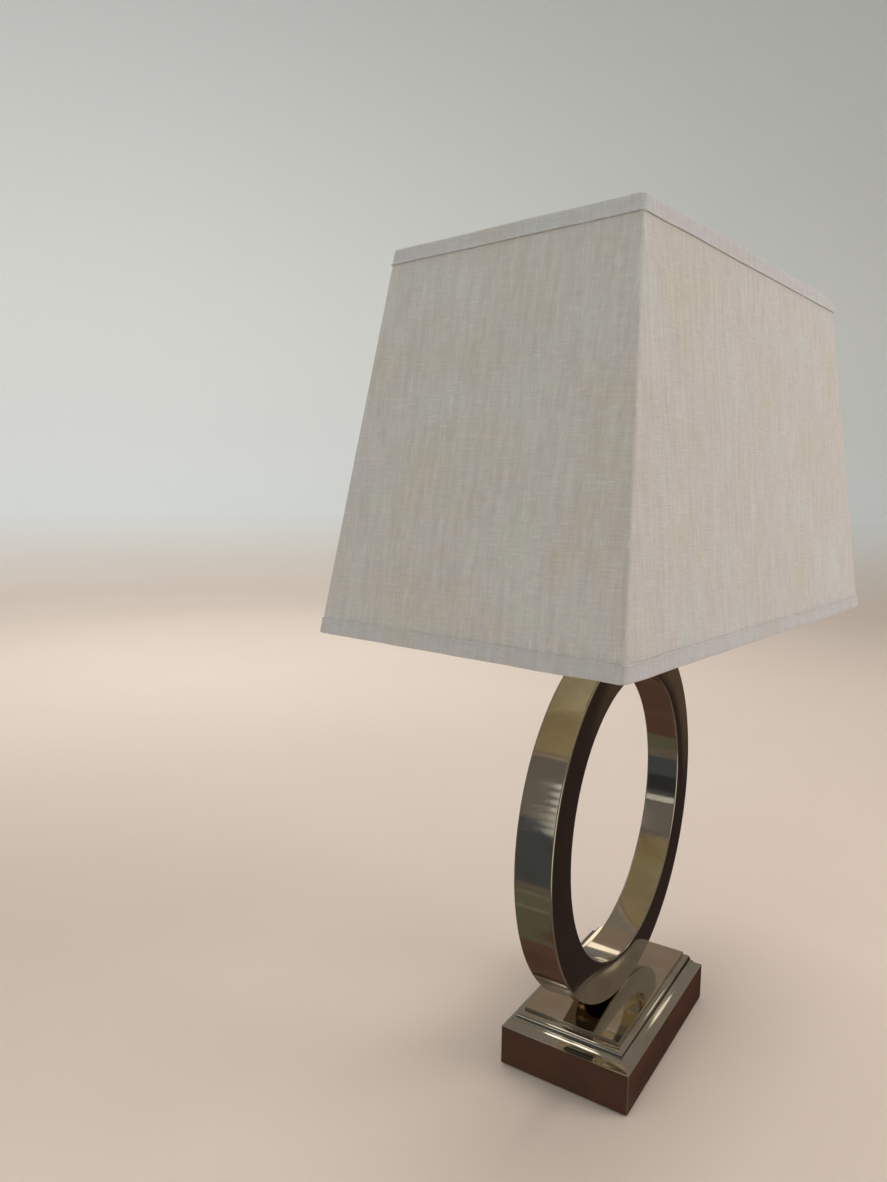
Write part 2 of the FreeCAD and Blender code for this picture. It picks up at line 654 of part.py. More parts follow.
FABRIC_IN = TRIM_THICK + FABRIC_THICK
LINER_OUT = FABRIC_IN + SMALL_GAP
WIRE_INSET = LINER_OUT + LINER_THICK + FRAME_WIRE + 0.6     # centreline of the frame wires
TRIM_IN = WIRE_INSET + FRAME_WIRE + 0.4                     # outer face of the trim's inner leg
SHADE_FOOT, SHADE_CROWN = SHADE_BOTTOM[2], SHADE_TOP[2]


def shade_fabric():
    """Linen cover, laminated to the liner."""
    return yawed(shade_wall(SHADE_FOOT + TRIM_THICK, SHADE_CROWN - TRIM_THICK, TRIM_THICK, FABRIC_IN))


def shade_liner():
    """Four stiff translucent panels behind the linen."""
    z0, z1 = SHADE_FOOT + TRIM_THICK + 0.1, SHADE_CROWN - TRIM_THICK - 0.1
    panels = []
    for along, across in ((0, 1), (1, 0)):
        for side in (-1, 1):
            rows = []
            for z in (z0, z1):
                size = shade_size(z, LINER_OUT)
                face, half = side * size[along] / 2, size[across] / 2 - SHADE_CORNER
                corners = [(face, -half), (face, half), (face - side * LINER_THICK, half),
                           (face - side * LINER_THICK, -half)]
                if along:
                    corners = [(b, a) for a, b in corners]
                corners.append(corners[0])
                rows.append(Part.makePolygon([Vec(x, y, z) for x, y in corners]))
            panels.append(Part.makeLoft(rows, True, True))
    return yawed(group(*panels))


def shade_trim(edge, inward):
    """Linen tape folded over a rim: an outer leg, a shorter inner leg and the fold between them."""
    lip, hem = edge + inward * TRIM_THICK, edge + inward * TRIM_HEIGHT
    inner_hem = edge + inward * (TRIM_HEIGHT - 2.5)
    solid = shade_block(min(edge, hem), max(edge, hem), 0)
    under = shade_block(min(lip, hem + inward), max(lip, hem + inward), TRIM_THICK)
    inner = shade_block(min(edge, inner_hem), max(edge, inner_hem), TRIM_IN)
    hole = shade_block(min(edge - inward, inner_hem + inward), max(edge - inward, inner_hem + inward),
                       TRIM_IN + TRIM_THICK)
    outer_leg = solid.cut(under).cut(hole)
    inner_leg = inner.cut(hole)
    return yawed(outer_leg.fuse(inner_leg).removeSplitter())


def shade_top_trim():
    return shade_trim(SHADE_CROWN, -1)


def shade_bottom_trim():
    return shade_trim(SHADE_FOOT, 1)


TOP_WIRE_Z = SHADE_CROWN - TRIM_THICK - FRAME_WIRE - 0.2
BOTTOM_WIRE_Z = SHADE_FOOT + TRIM_THICK + FRAME_WIRE + 0.2
WIRE_BEND = 2.5


def wire_frame(z):
    """Rectangle of round wire with bent corners."""
    length, width = shade_size(z, WIRE_INSET)
    x, y = length / 2, width / 2
    halves = []
    for side in (1, -1):
        half = route([(0, -y, z), (side * x, -y, z), (side * x, y, z), (0, y, z)], [WIRE_BEND, WIRE_BEND])
        halves.append(rod(half, FRAME_WIRE))
    return halves[0].fuse(halves[1]).removeSplitter()


def shade_top_frame():
    return yawed(wire_frame(TOP_WIRE_Z))


def shade_bottom_frame():
    return yawed(wire_frame(BOTTOM_WIRE_Z))


WASHER_R = 12.0
WASHER_THICK = 2.0
ARM_X = 55.0                             # where an arm meets the long side of the top frame


def shade_spider_washer():
    z0, z1 = SPIDER_Z, SPIDER_Z + WASHER_THICK
    return yawed(pipe(WASHER_R, STUD_R + RUNNING_GAP, z0, z1))


def shade_spider_arms():
    """Four arms: down along the wall from the top frame, then level in to the washer."""
    level = SPIDER_Z + WASHER_THICK / 2
    side_y = shade_size(TOP_WIRE_Z, WIRE_INSET)[1] / 2
    low_y = shade_size(level, WIRE_INSET)[1] / 2
    reach = sqrt(ARM_X ** 2 + low_y ** 2)
    near = (WASHER_R + SMALL_GAP) / reach
    arms = []
    for sx in (-1, 1):
        for sy in (-1, 1):
            x, y = sx * ARM_X, sy * low_y
            path = route([(x, sy * side_y, TOP_WIRE_Z - FRAME_WIRE - 2 * SMALL_GAP), (x, y, level),
                          (x * near, y * near, level)], [4.0])
            arms.append(rod(path, FRAME_WIRE))
    return yawed(group(*arms))


# ---- finial ------------------------------------------------------------------------------------
FINIAL_FOOT = SPIDER_Z + WASHER_THICK + RUNNING_GAP


def finial_insert():
    """Threaded brass bush; the stud runs up inside it."""
    return pipe(4.6, STUD_R + RUNNING_GAP, FINIAL_FOOT, FINIAL_FOOT + 13.0)


def finial_knob():
    """Nickel ball on a turned foot, over the bush."""
    z = FINIAL_FOOT
    bore = 4.6 + RUNNING_GAP
    ball_r, neck_r = 11.0, 6.6
    ball_z = z + 8.0 + sqrt(ball_r ** 2 - neck_r ** 2)
    return turned([
        (bore, z), (8.0, z), (8.0, z + 1.8), ("arc", (6.6, z + 2.6), (6.1, z + 4.4)),
        (6.1, z + 6.0), ("arc", (7.6, z + 7.0), (neck_r, z + 8.0)),
        ("arc", (ball_r, ball_z), (0, ball_z + ball_r)), (0, z + 14.0), (bore, z + 14.0),
    ])


SUB_PARTS = [
    base_plinth, base_moulding, base_top_plate, base_weight, base_bottom_cover, base_cover_screws,
    base_felt_pad, cord_inlet_grommet, base_nipple, base_lock_washer, base_lock_nut,
    ring_outer_band, ring_inner_band, ring_front_face, ring_back_face, ring_lower_boss,
    ring_upper_boss, internal_lead, neck, neck_nipple, harp_saddle, harp_wire, harp_stud,
    harp_ferrule_left, harp_ferrule_right, socket_cap, socket_shell, socket_liner, socket_body,
    terminal_screws, socket_screw_shell, socket_contact, switch_stem, switch_knob, bulb_contact,
    bulb_insulator, bulb_cap, bulb_glass, bulb_stem, bulb_filament, shade_fabric, shade_liner,
    shade_top_trim, shade_bottom_trim, shade_top_frame, shade_bottom_frame, shade_spider_washer,
    shade_spider_arms, finial_insert, finial_knob,
]

os.makedirs("parts", exist_ok=True)
for make in SUB_PARTS:
    shape = make()
    name = make.__name__
    if not shape.isValid() or shape.Volume <= 0 or not shape.Solids:
        raise ValueError(name + " is not a valid solid")
    bounds = shape.BoundBox
    print("%-22s %2d solid(s) %10.1f mm3   X %7.1f %7.1f  Y %7.1f %7.1f  Z %6.1f %6.1f" % (
        name, len(shape.Solids), shape.Volume, bounds.XMin, bounds.XMax, bounds.YMin, bounds.YMax,
        bounds.ZMin, bounds.ZMax))
    shape.exportStep("parts/" + name + ".step")
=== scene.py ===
"""Table lamp: polished nickel ring on a stepped base, harp, socket and rectangular linen shade."""

import math

import bmesh
import bpy
from mathutils import Matrix, Vector, noise


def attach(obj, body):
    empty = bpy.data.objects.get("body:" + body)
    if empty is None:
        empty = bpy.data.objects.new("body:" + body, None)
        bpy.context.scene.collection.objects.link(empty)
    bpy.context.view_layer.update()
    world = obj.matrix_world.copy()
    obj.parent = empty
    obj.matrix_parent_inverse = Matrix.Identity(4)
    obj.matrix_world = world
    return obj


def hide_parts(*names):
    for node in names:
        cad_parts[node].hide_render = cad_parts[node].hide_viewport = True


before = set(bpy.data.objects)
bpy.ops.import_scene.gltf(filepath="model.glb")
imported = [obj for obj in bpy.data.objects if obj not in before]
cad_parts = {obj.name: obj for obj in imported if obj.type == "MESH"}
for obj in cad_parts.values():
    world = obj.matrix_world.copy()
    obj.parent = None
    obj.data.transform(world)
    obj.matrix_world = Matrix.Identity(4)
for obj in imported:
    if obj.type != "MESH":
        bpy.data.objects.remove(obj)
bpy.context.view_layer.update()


# ---- Camera -------------------------------------------------------------------------------------
# It stands a little above the foot of the shade, off the lamp's left front corner, and looks
# slightly down past the lamp, with the horizon almost level.
eye_place = (-0.6735, -0.2617, 0.4770)
eye_heading, eye_tilt, eye_roll = -0.9895, -0.1194, 0.0130
film_width, lens_length = 36.0, 25.80

camera_data = bpy.data.cameras.new("camera")
camera_data.sensor_width, camera_data.lens = film_width, lens_length
camera_data.clip_start, camera_data.clip_end = 0.02, 30.0
camera = bpy.data.objects.new("camera", camera_data)
bpy.context.scene.collection.objects.link(camera)
camera.matrix_world = (Matrix.Translation(eye_place) @ Matrix.Rotation(eye_heading, 4, "Z")
                       @ Matrix.Rotation(math.pi / 2 + eye_tilt, 4, "X")
                       @ Matrix.Rotation(eye_roll, 4, "Z"))
bpy.context.scene.camera = camera
bpy.context.scene.view_settings.view_transform = "Standard"


# ---- Studio -------------------------------------------------------------------------------------
# A pale warm floor that sweeps up into a pale wall all round, four soft boxes, and the dim room
# that the polish mirrors: the metal doesn't see the floor or the boxes, so that it has contrast.
def node(tree, kind, place=(0, 0), **values):
    """Adds a node; values are its settings, or its inputs by name when it has no such setting."""
    made = tree.nodes.new(kind)
    made.location = place
    for key, value in values.items():
        if hasattr(made, key):
            setattr(made, key, value)
        else:
            made.inputs[key.replace("_", " ")].default_value = value
    return made


def link(tree, *pairs):
    for source, target in pairs:
        tree.links.new(source, target)


def sweep_paint():
    made = bpy.data.materials.new("studio_sweep")
    made.use_nodes = True
    tree = made.node_tree
    shader = tree.nodes["Principled BSDF"]
    shader.inputs["Roughness"].default_value = 0.9
    shader.inputs["Specular IOR Level"].default_value = 0.15
    place = node(tree, "ShaderNodeTexCoord", (-1000, 0))
    parts = node(tree, "ShaderNodeSeparateXYZ", (-800, -200))
    rise = node(tree, "ShaderNodeMapRange", (-600, -200), From_Min=0.0, From_Max=0.35)
    mottle = node(tree, "ShaderNodeTexNoise", (-800, 0), Scale=2.2, Detail=3.0)
    ground = node(tree, "ShaderNodeMix", (-500, 100), data_type="RGBA", A=(0.79, 0.655, 0.55, 1),
                  B=(0.84, 0.70, 0.595, 1))
    wall = node(tree, "ShaderNodeMix", (-250, 0), data_type="RGBA", B=(0.88, 0.895, 0.87, 1))
    link(tree, (place.outputs["Object"], mottle.inputs["Vector"]),
         (place.outputs["Object"], parts.inputs[0]),
         (parts.outputs["Z"], rise.inputs["Value"]),
         (mottle.outputs["Fac"], ground.inputs["Factor"]),
         (rise.outputs[0], wall.inputs["Factor"]), (ground.outputs["Result"], wall.inputs["A"]),
         (wall.outputs["Result"], shader.inputs["Base Color"]))
    return made


sweep_rise = ((3.3, 0.02), (3.7, 0.12), (4.1, 0.36), (4.35, 0.75), (4.45, 1.3), (4.5, 4.5))
floor_radius = 2.8
bpy.ops.object.select_all(action="DESELECT")
bpy.ops.mesh.primitive_circle_add(vertices=128, radius=floor_radius, fill_type="NGON",
                                  location=(0, 0, 0))
sweep = bpy.context.object
sweep.name = "studio_sweep"
bpy.ops.object.mode_set(mode="EDIT")
bpy.ops.mesh.select_mode(type="EDGE")
reach, level = floor_radius, 0.0
for out, up in sweep_rise:
    if reach == floor_radius:
        bpy.ops.mesh.select_all(action="DESELECT")
        bpy.ops.mesh.select_non_manifold()
    bpy.ops.mesh.extrude_edges_move(TRANSFORM_OT_translate={"value": (0, 0, up - level)})
    bpy.ops.transform.resize(value=(out / reach, out / reach, 1), center_override=(0, 0, up))
    reach, level = out, up
bpy.ops.mesh.select_mode(type="VERT")
bpy.ops.object.mode_set(mode="OBJECT")
bpy.ops.object.shade_smooth()
sweep.data.materials.append(sweep_paint())
sweep.visible_glossy = False


def soft_box(name, place, size, power, tint, aim=(0, 0, 0.35)):
    """A soft light that isn't seen in the polish."""
    data = bpy.data.lights.new(name, "AREA")
    data.shape, data.size, data.size_y = "RECTANGLE", size[0], size[1]
    data.energy, data.color = power, tint
    light = bpy.data.objects.new(name, data)
    bpy.context.scene.collection.objects.link(light)
    light.location = place
    light.rotation_euler = (Vector(aim) - Vector(place)).to_track_quat("-Z", "Y").to_euler()
    light.visible_glossy = False


soft_box("right", (0.75, -2.1, 1.35), (1.3, 1.3), 23, (1.0, 0.955, 0.965))
soft_box("left", (-2.3, 0.7, 1.5), (1.3, 1.6), 10, (0.87, 0.98, 1.0))
soft_box("above", (0.3, 0.2, 2.6), (1.6, 1.6), 21, (1.0, 0.99, 0.97))
soft_box("wall", (0.6, 1.3, 1.9), (1.6, 1.0), 26, (0.94, 0.98, 1.0), aim=(2.4, 3.9, 0.1))

# The mirrored room: what lies each way, how many degrees it spans, and its colour.
room_below, room_above = (0.15, 0.125, 0.105), (0.23, 0.215, 0.195)
room_parts = (
    ((-0.85, 0.40, 0.20), 30, 38, (0.165, 0.155, 0.142)),
    ((-0.50, 0.50, -0.70), 17, 18, (0.118, 0.115, 0.078)),
    ((-0.66, 0.41, -0.63), 5.2, 5.6, (0.175, 0.170, 0.125)),
    ((-0.66, 0.41, -0.63), 3.6, 4.0, (0.130, 0.130, 0.090)),
    ((-0.02, 0.42, -0.90), 14, 15, (0.112, 0.066, 0.050)),
    ((-0.88, 0.33, -0.20), 18, 20, (0.070, 0.080, 0.086)),
    ((-0.94, 0.27, -0.16), 5, 8, (0.035, 0.038, 0.040)),
    ((-0.95, 0.29, 0.06), 1.8, 2.6, (0.60, 0.60, 0.57)),
    ((-0.42, 0.14, -0.90), 14, 15, (0.105, 0.060, 0.045)),
    ((0.31, 0.26, -0.90), 24, 28, (0.100, 0.056, 0.042)),
    ((0.88, -0.32, -0.36), 19, 25, (0.034, 0.024, 0.022)),
    ((0.97, -0.22, -0.10), 8, 14, (0.092, 0.066, 0.044)),
    ((0.80, 0.31, 0.51), 14, 22, (0.27, 0.215, 0.172)),
    ((0.86, 0.36, 0.28), 4, 6, (1.5, 1.38, 1.15)),
    ((-0.54, 0.24, 0.80), 4, 5, (2.0, 1.95, 1.85)),
    ((-0.50, 0.38, 0.78), 4, 5, (2.0, 1.95, 1.85)),
    ((0.80, -0.50, 0.33), 4, 6, (1.2, 1.15, 1.0)),
    ((0.10, 0.80, 0.55), 9, 13, (1.2, 1.15, 1.05)),
    ((-0.44, -0.82, -0.12), 21, 29, (0.85, 0.81, 0.73)),
)
# A tall narrow gap of daylight, which draws the streak down the ring's left front edge.
gap_side, gap_heights = 0.364, (0.02, 0.09, 0.16, 0.23, 0.30, 0.37, 0.44)
room_parts += tuple(((-math.sqrt(1 - gap_side ** 2 - up ** 2), gap_side, up), 1.8, 2.9,
                     (0.85, 0.86, 0.84))
                    for up in gap_heights)


def room():
    world = bpy.data.worlds.new("room")
    bpy.context.scene.world = world
    world.use_nodes = True
    tree = world.node_tree
    tree.nodes.clear()
    way = node(tree, "ShaderNodeTexCoord", (-1600, 0))
    height = node(tree, "ShaderNodeSeparateXYZ", (-1400, 0))
    horizon = node(tree, "ShaderNodeMapRange", (-1200, 0), interpolation_type="SMOOTHSTEP",
                   From_Min=-0.15, From_Max=0.08)
    so_far = node(tree, "ShaderNodeMix", (-1000, 0), data_type="RGBA", A=(*room_below, 1),
                  B=(*room_above, 1))
    link(tree, (way.outputs["Generated"], height.inputs[0]),
         (height.outputs["Z"], horizon.inputs["Value"]),
         (horizon.outputs[0], so_far.inputs["Factor"]))
    for number, (towards, within, beyond, colour) in enumerate(room_parts):
        facing = node(tree, "ShaderNodeVectorMath", (-800 + 200 * number, -300),
                      operation="DOT_PRODUCT")
        facing.inputs[1].default_value = Vector(towards).normalized()
        share = node(tree, "ShaderNodeMapRange", (-800 + 200 * number, -150),
                     interpolation_type="SMOOTHSTEP",
                     From_Min=math.cos(math.radians(beyond)),
                     From_Max=math.cos(math.radians(within)))
        mixed = node(tree, "ShaderNodeMix", (-800 + 200 * number, 0), data_type="RGBA",
                     B=(*colour, 1))
        link(tree, (way.outputs["Generated"], facing.inputs[0]),
             (facing.outputs["Value"], share.inputs["Value"]),
             (share.outputs[0], mixed.inputs["Factor"]),
             (so_far.outputs["Result"], mixed.inputs["A"]))
        so_far = mixed
    mirrored = node(tree, "ShaderNodeBackground", (2400, 100), Strength=1.0)
    plain = node(tree, "ShaderNodeBackground", (2400, -100), Color=(0.62, 0.645, 0.67, 1),
                 Strength=0.5)
    path = node(tree, "ShaderNodeLightPath", (2200, 300))
    either = node(tree, "ShaderNodeMixShader", (2600, 0))
    out = node(tree, "ShaderNodeOutputWorld", (2800, 0))
    link(tree, (so_far.outputs["Result"], mirrored.inputs["Color"]),
         (path.outputs["Is Glossy Ray"], either.inputs["Fac"]),
         (plain.outputs[0], either.inputs[1]), (mirrored.outputs[0], either.inputs[2]),
         (either.outputs[0], out.inputs["Surface"]))


room()


# ---- Plinth -------------------------------------------------------------------------------------
# The base's lower box: sheet steel, folded and brazed, its joints dressed flush, then baked with a
# dark brown lacquer. Its upright corners are lighter: worn lacquer, and partly a painted highlight.
# The cord's inlet is in its back.
plinth_half = (0.094, 0.0555)
plinth_foot, plinth_top, plinth_wall = 0.001, 0.0333, 0.0025
inlet_height, inlet_radius = 0.012, 0.0049
fold_radius = 0.0006


def outline(name, half, height, corner=0.0, corner_steps=6, cuts=0):
    """A rectangular loop of edges in edit mode, its corners rounded and its sides divided."""
    bpy.ops.object.select_all(action="DESELECT")
    bpy.ops.mesh.primitive_plane_add(size=2, location=(0, 0, height))
    piece = bpy.context.object
    piece.name = piece.data.name = name
    bpy.ops.object.mode_set(mode="EDIT")
    bpy.ops.transform.resize(value=(half[0], half[1], 1))
    if corner:
        bpy.ops.mesh.bevel(offset=corner, segments=corner_steps, affect="VERTICES")
    bpy.ops.mesh.delete(type="ONLY_FACE")
    if cuts:
        shape = bmesh.from_edit_mesh(piece.data)
        longest = min(half)
        for edge in shape.edges:
            edge.select_set(edge.calc_length() > longest)
        bpy.ops.mesh.subdivide(number_cuts=cuts)
    bpy.ops.mesh.select_all(action="SELECT")
    return piece


def raise_walls(half, height, stations):
    """Extrudes the loop to each (half length, half width, height) in turn."""
    for across, deep, up in stations:
        bpy.ops.mesh.extrude_edges_move(TRANSFORM_OT_translate={"value": (0, 0, up - height)})
        bpy.ops.transform.resize(value=(across / half[0], deep / half[1], 1),
                                 center_override=(0, 0, up))
        half, height = (across, deep), up


def close_profile(piece):
    """Joins the last loop to the first, turns the faces out, and sets the place in the mesh."""
    bpy.ops.mesh.select_all(action="DESELECT")
    bpy.ops.mesh.select_non_manifold()
    bpy.ops.mesh.bridge_edge_loops()
    bpy.ops.mesh.select_all(action="SELECT")
    bpy.ops.mesh.normals_make_consistent(inside=False)
    bpy.ops.object.mode_set(mode="OBJECT")
    bpy.ops.object.transform_apply(location=True, rotation=True, scale=True)
    return piece


def soften(piece, width, steps=3, angle=35):
    """Rounds the sharp edges with a bevel, and smooths what is left of the shading."""
    bevel = piece.modifiers.new("soft_edges", "BEVEL")
    bevel.width, bevel.segments = width, steps
    bevel.limit_method, bevel.angle_limit = "ANGLE", math.radians(angle)
    bpy.ops.object.modifier_apply(modifier=bevel.name)
    bpy.ops.object.shade_smooth_by_angle(angle=math.radians(angle))


def group_of(name, inputs, outputs):
    """An empty shader node group with its sockets, and its two end nodes."""
    tree = bpy.data.node_groups.new(name, "ShaderNodeTree")
    for key, kind, value in inputs:
        socket = tree.interface.new_socket(key, in_out="INPUT", socket_type=kind)
        if value is not None:
            socket.default_value = value
    for key, kind in outputs:
        tree.interface.new_socket(key, in_out="OUTPUT", socket_type=kind)
    return tree, node(tree, "NodeGroupInput", (-1200, 0)), node(tree, "NodeGroupOutput", (400, 0))


def handling_marks():
    """Old polish: cloudy smudges, fine wiping scratches and a few pin pricks."""
    tree, given, made = group_of(
        "handling_marks",
        (("Vector", "NodeSocketVector", None), ("Bright", "NodeSocketColor", (0.6, 0.54, 0.45, 1)),
         ("Dull", "NodeSocketColor", (0.5, 0.42, 0.32, 1)), ("Shine", "NodeSocketFloat", 0.06),
         ("Wear", "NodeSocketFloat", 0.12)),
        (("Color", "NodeSocketColor"), ("Roughness", "NodeSocketFloat"),
         ("Height", "NodeSocketFloat")))
    cloud = node(tree, "ShaderNodeTexNoise", (-900, 200), Scale=38.0, Detail=5.0, Roughness=0.62)
    long_way = node(tree, "ShaderNodeMapping", (-1050, -150), Scale=(260.0, 42.0, 900.0),
                    Rotation=(0.3, 0.2, 0.7))
    wiped = node(tree, "ShaderNodeTexNoise", (-900, -150), Scale=1.0, Detail=3.0, Distortion=0.6)
    lines = node(tree, "ShaderNodeMapRange", (-700, -150), From_Min=0.60, From_Max=0.74)
    prick = node(tree, "ShaderNodeTexVoronoi", (-900, -400), Scale=210.0)
    pricks = node(tree, "ShaderNodeMapRange", (-700, -400), From_Min=0.10, From_Max=0.05)
    patch = node(tree, "ShaderNodeMapRange", (-700, 200), From_Min=0.36, From_Max=0.72)
    tint = node(tree, "ShaderNodeMix", (-400, 200), data_type="RGBA")
    marks = node(tree, "ShaderNodeMath", (-500, -150), operation="MULTIPLY_ADD")
    marks.inputs[1].default_value = 0.45
    rough = node(tree, "ShaderNodeMath", (-250, 0), operation="MULTIPLY_ADD")
    dents = node(tree, "ShaderNodeMath", (-250, -300), operation="ADD")
    link(tree, (given.outputs["Vector"], cloud.inputs["Vector"]),
         (given.outputs["Vector"], long_way.inputs["Vector"]),
         (long_way.outputs[0], wiped.inputs["Vector"]),
         (given.outputs["Vector"], prick.inputs["Vector"]),
         (wiped.outputs["Fac"], lines.inputs["Value"]),
         (prick.outputs["Distance"], pricks.inputs["Value"]),
         (cloud.outputs["Fac"], patch.inputs["Value"]), (patch.outputs[0], tint.inputs["Factor"]),
         (given.outputs["Bright"], tint.inputs["A"]), (given.outputs["Dull"], tint.inputs["B"]),
         (lines.outputs[0], marks.inputs[0]), (patch.outputs[0], marks.inputs[2]),
         (marks.outputs[0], rough.inputs[0]), (given.outputs["Wear"], rough.inputs[1]),
         (given.outputs["Shine"], rough.inputs[2]), (lines.outputs[0], dents.inputs[0]),
         (pricks.outputs[0], dents.inputs[1]), (tint.outputs["Result"], made.inputs["Color"]),
         (rough.outputs[0], made.inputs["Roughness"]), (dents.outputs[0], made.inputs["Height"]))
    return tree


marks_group = handling_marks()


def metal(name, bright, dull, shine, wear, depth=0.00002):
    """A bare or plated metal with handling marks; depth is how deep they are, in metres."""
    made = bpy.data.materials.new(name)
    made.use_nodes = True
    tree = made.node_tree
    shader = tree.nodes["Principled BSDF"]
    shader.inputs["Metallic"].default_value = 1.0
    place = node(tree, "ShaderNodeTexCoord", (-900, 0))
    marks = node(tree, "ShaderNodeGroup", (-600, 0), node_tree=marks_group)
    marks.inputs["Bright"].default_value = (*bright, 1)
    marks.inputs["Dull"].default_value = (*dull, 1)
    marks.inputs["Shine"].default_value, marks.inputs["Wear"].default_value = shine, wear
    bump = node(tree, "ShaderNodeBump", (-250, -250), Strength=0.25, Distance=-depth)
    link(tree, (place.outputs["Object"], marks.inputs["Vector"]),
         (marks.outputs["Color"], shader.inputs["Base Color"]),
         (marks.outputs["Roughness"], shader.inputs["Roughness"]),
         (marks.outputs["Height"], bump.inputs["Height"]),
         (bump.outputs["Normal"], shader.inputs["Normal"]))
    return made


def finish(piece, material, body, slot, *stood_for):
    """Gives a new piece its one material, its body and the CAD nodes it stands for, which it hides.
    The slot argument is not used.
    """
    piece.data.materials.clear()
    piece.data.materials.append(material)
    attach(piece, body)
    if stood_for:
        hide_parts(*stood_for)
    return piece


def refinish(material, *names):
    """Gives CAD nodes a better material and leaves their shape alone."""
    for name in names:
        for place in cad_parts[name].material_slots:
            place.material = material


nickel = metal("polished_nickel", (0.62, 0.555, 0.46), (0.54, 0.465, 0.36), 0.035, 0.085)

plinth = outline("plinth", plinth_half, plinth_foot)
inner = (plinth_half[0] - plinth_wall, plinth_half[1] - plinth_wall)
raise_walls(plinth_half, plinth_foot, ((*plinth_half, plinth_top), (*inner, plinth_top),
                                       (*inner, plinth_foot)))
close_profile(plinth)
soften(plinth, fold_radius)
bpy.ops.mesh.primitive_cylinder_add(vertices=48, radius=inlet_radius, depth=0.01,
                                    location=(0, plinth_half[1], inlet_height),
                                    rotation=(math.pi / 2, 0, 0))
drill = bpy.context.object
bpy.ops.object.select_all(action="DESELECT")
plinth.select_set(True)
bpy.context.view_layer.objects.active = plinth
bored = plinth.modifiers.new("inlet", "BOOLEAN")
bored.object, bored.operation, bored.solver = drill, "DIFFERENCE", "EXACT"
bpy.ops.object.modifier_apply(modifier=bored.name)
bpy.data.objects.remove(drill)


def brown_lacquer():
    """Baked lacquer over steel: clouded red and olive browns, and a lighter bronze at the upright
    corners that is partly wear and partly a painted highlight.
    """
    made = bpy.data.materials.new("brown_lacquer")
    made.use_nodes = True
    tree = made.node_tree
    shader = tree.nodes["Principled BSDF"]
    shader.inputs["Coat Weight"].default_value = 0.35
    shader.inputs["Coat Roughness"].default_value = 0.12
    place = node(tree, "ShaderNodeTexCoord", (-1500, 0))
    cloud = node(tree, "ShaderNodeTexNoise", (-1200, 300), Scale=20.0, Detail=2.0)
    mottle = node(tree, "ShaderNodeTexNoise", (-1200, 100), Scale=240.0, Detail=4.0)
    peel = node(tree, "ShaderNodeTexNoise", (-1200, -100), Scale=420.0, Detail=1.0)
    browns = node(tree, "ShaderNodeValToRGB", (-900, 300))
    stops = browns.color_ramp.elements
    stops[0].position, stops[0].color = 0.34, (0.066, 0.033, 0.018, 1)
    stops[1].position, stops[1].color = 0.66, (0.100, 0.036, 0.017, 1)
    stops.new(0.5).color = (0.082, 0.033, 0.017, 1)
    dusty = node(tree, "ShaderNodeMix", (-600, 250), data_type="RGBA", B=(0.085, 0.052, 0.034, 1))
    specks = node(tree, "ShaderNodeMapRange", (-900, 100), From_Min=0.56, From_Max=0.74, To_Max=0.3)
    parts = node(tree, "ShaderNodeSeparateXYZ", (-1200, -400))
    rubbed_and_highlit = node(tree, "ShaderNodeMix", (-300, 200), data_type="RGBA", B=(0.20, 0.155, 0.105, 1))
    rough = node(tree, "ShaderNodeMapRange", (-600, 0), From_Min=0.3, From_Max=0.7, To_Min=0.24,
                 To_Max=0.40)
    bump = node(tree, "ShaderNodeBump", (-300, -200), Strength=0.25, Distance=0.00004)
    link(tree, *((place.outputs["Object"], texture.inputs["Vector"])
                 for texture in (cloud, mottle, peel)),
         (place.outputs["Object"], parts.inputs[0]), (cloud.outputs["Fac"], browns.inputs["Fac"]),
         (mottle.outputs["Fac"], specks.inputs["Value"]),
         (specks.outputs[0], dusty.inputs["Factor"]),
         (browns.outputs["Color"], dusty.inputs["A"]),
         (dusty.outputs["Result"], rubbed_and_highlit.inputs["A"]),
         (cloud.outputs["Fac"], rough.inputs["Value"]),
         (rough.outputs[0], shader.inputs["Roughness"]),
         (peel.outputs["Fac"], bump.inputs["Height"]),
         (bump.outputs["Normal"], shader.inputs["Normal"]),
         (rubbed_and_highlit.outputs["Result"], shader.inputs["Base Color"]))
    near = []
    for axis, half in (("X", plinth_half[0]), ("Y", plinth_half[1])):
        size = node(tree, "ShaderNodeMath", (-1000, -400), operation="ABSOLUTE")
        close = node(tree, "ShaderNodeMapRange", (-800, -400), From_Min=half - 0.0011,
                     From_Max=half - 0.0002)
        link(tree, (parts.outputs[axis], size.inputs[0]), (size.outputs[0], close.inputs["Value"]))
        near.append(close.outputs[0])
    # The upright corners: lighter bronze, partly worn lacquer and partly a painted highlight.
    corner = node(tree, "ShaderNodeMath", (-600, -400), operation="MULTIPLY")
    patchy = node(tree, "ShaderNodeMath", (-450, -400), operation="MULTIPLY")
    link(tree, (near[0], corner.inputs[0]), (near[1], corner.inputs[1]),
         (corner.outputs[0], patchy.inputs[0]),
         (mottle.outputs["Fac"], patchy.inputs[1]), (patchy.outputs[0], rubbed_and_highlit.inputs["Factor"]))
    return made


finish(plinth, brown_lacquer(), "lamp", "brown_lacquer", "base_plinth")


# ---- Moulding -----------------------------------------------------------------------------------
# The stepped rim between plinth and top plate: a cove, a small fillet and a quarter round, drawn in
# brass strip, mitred at the corners, soldered, plated and polished. Profiles are in millimetres.
MM, rim_ease = 0.001, 0.00018


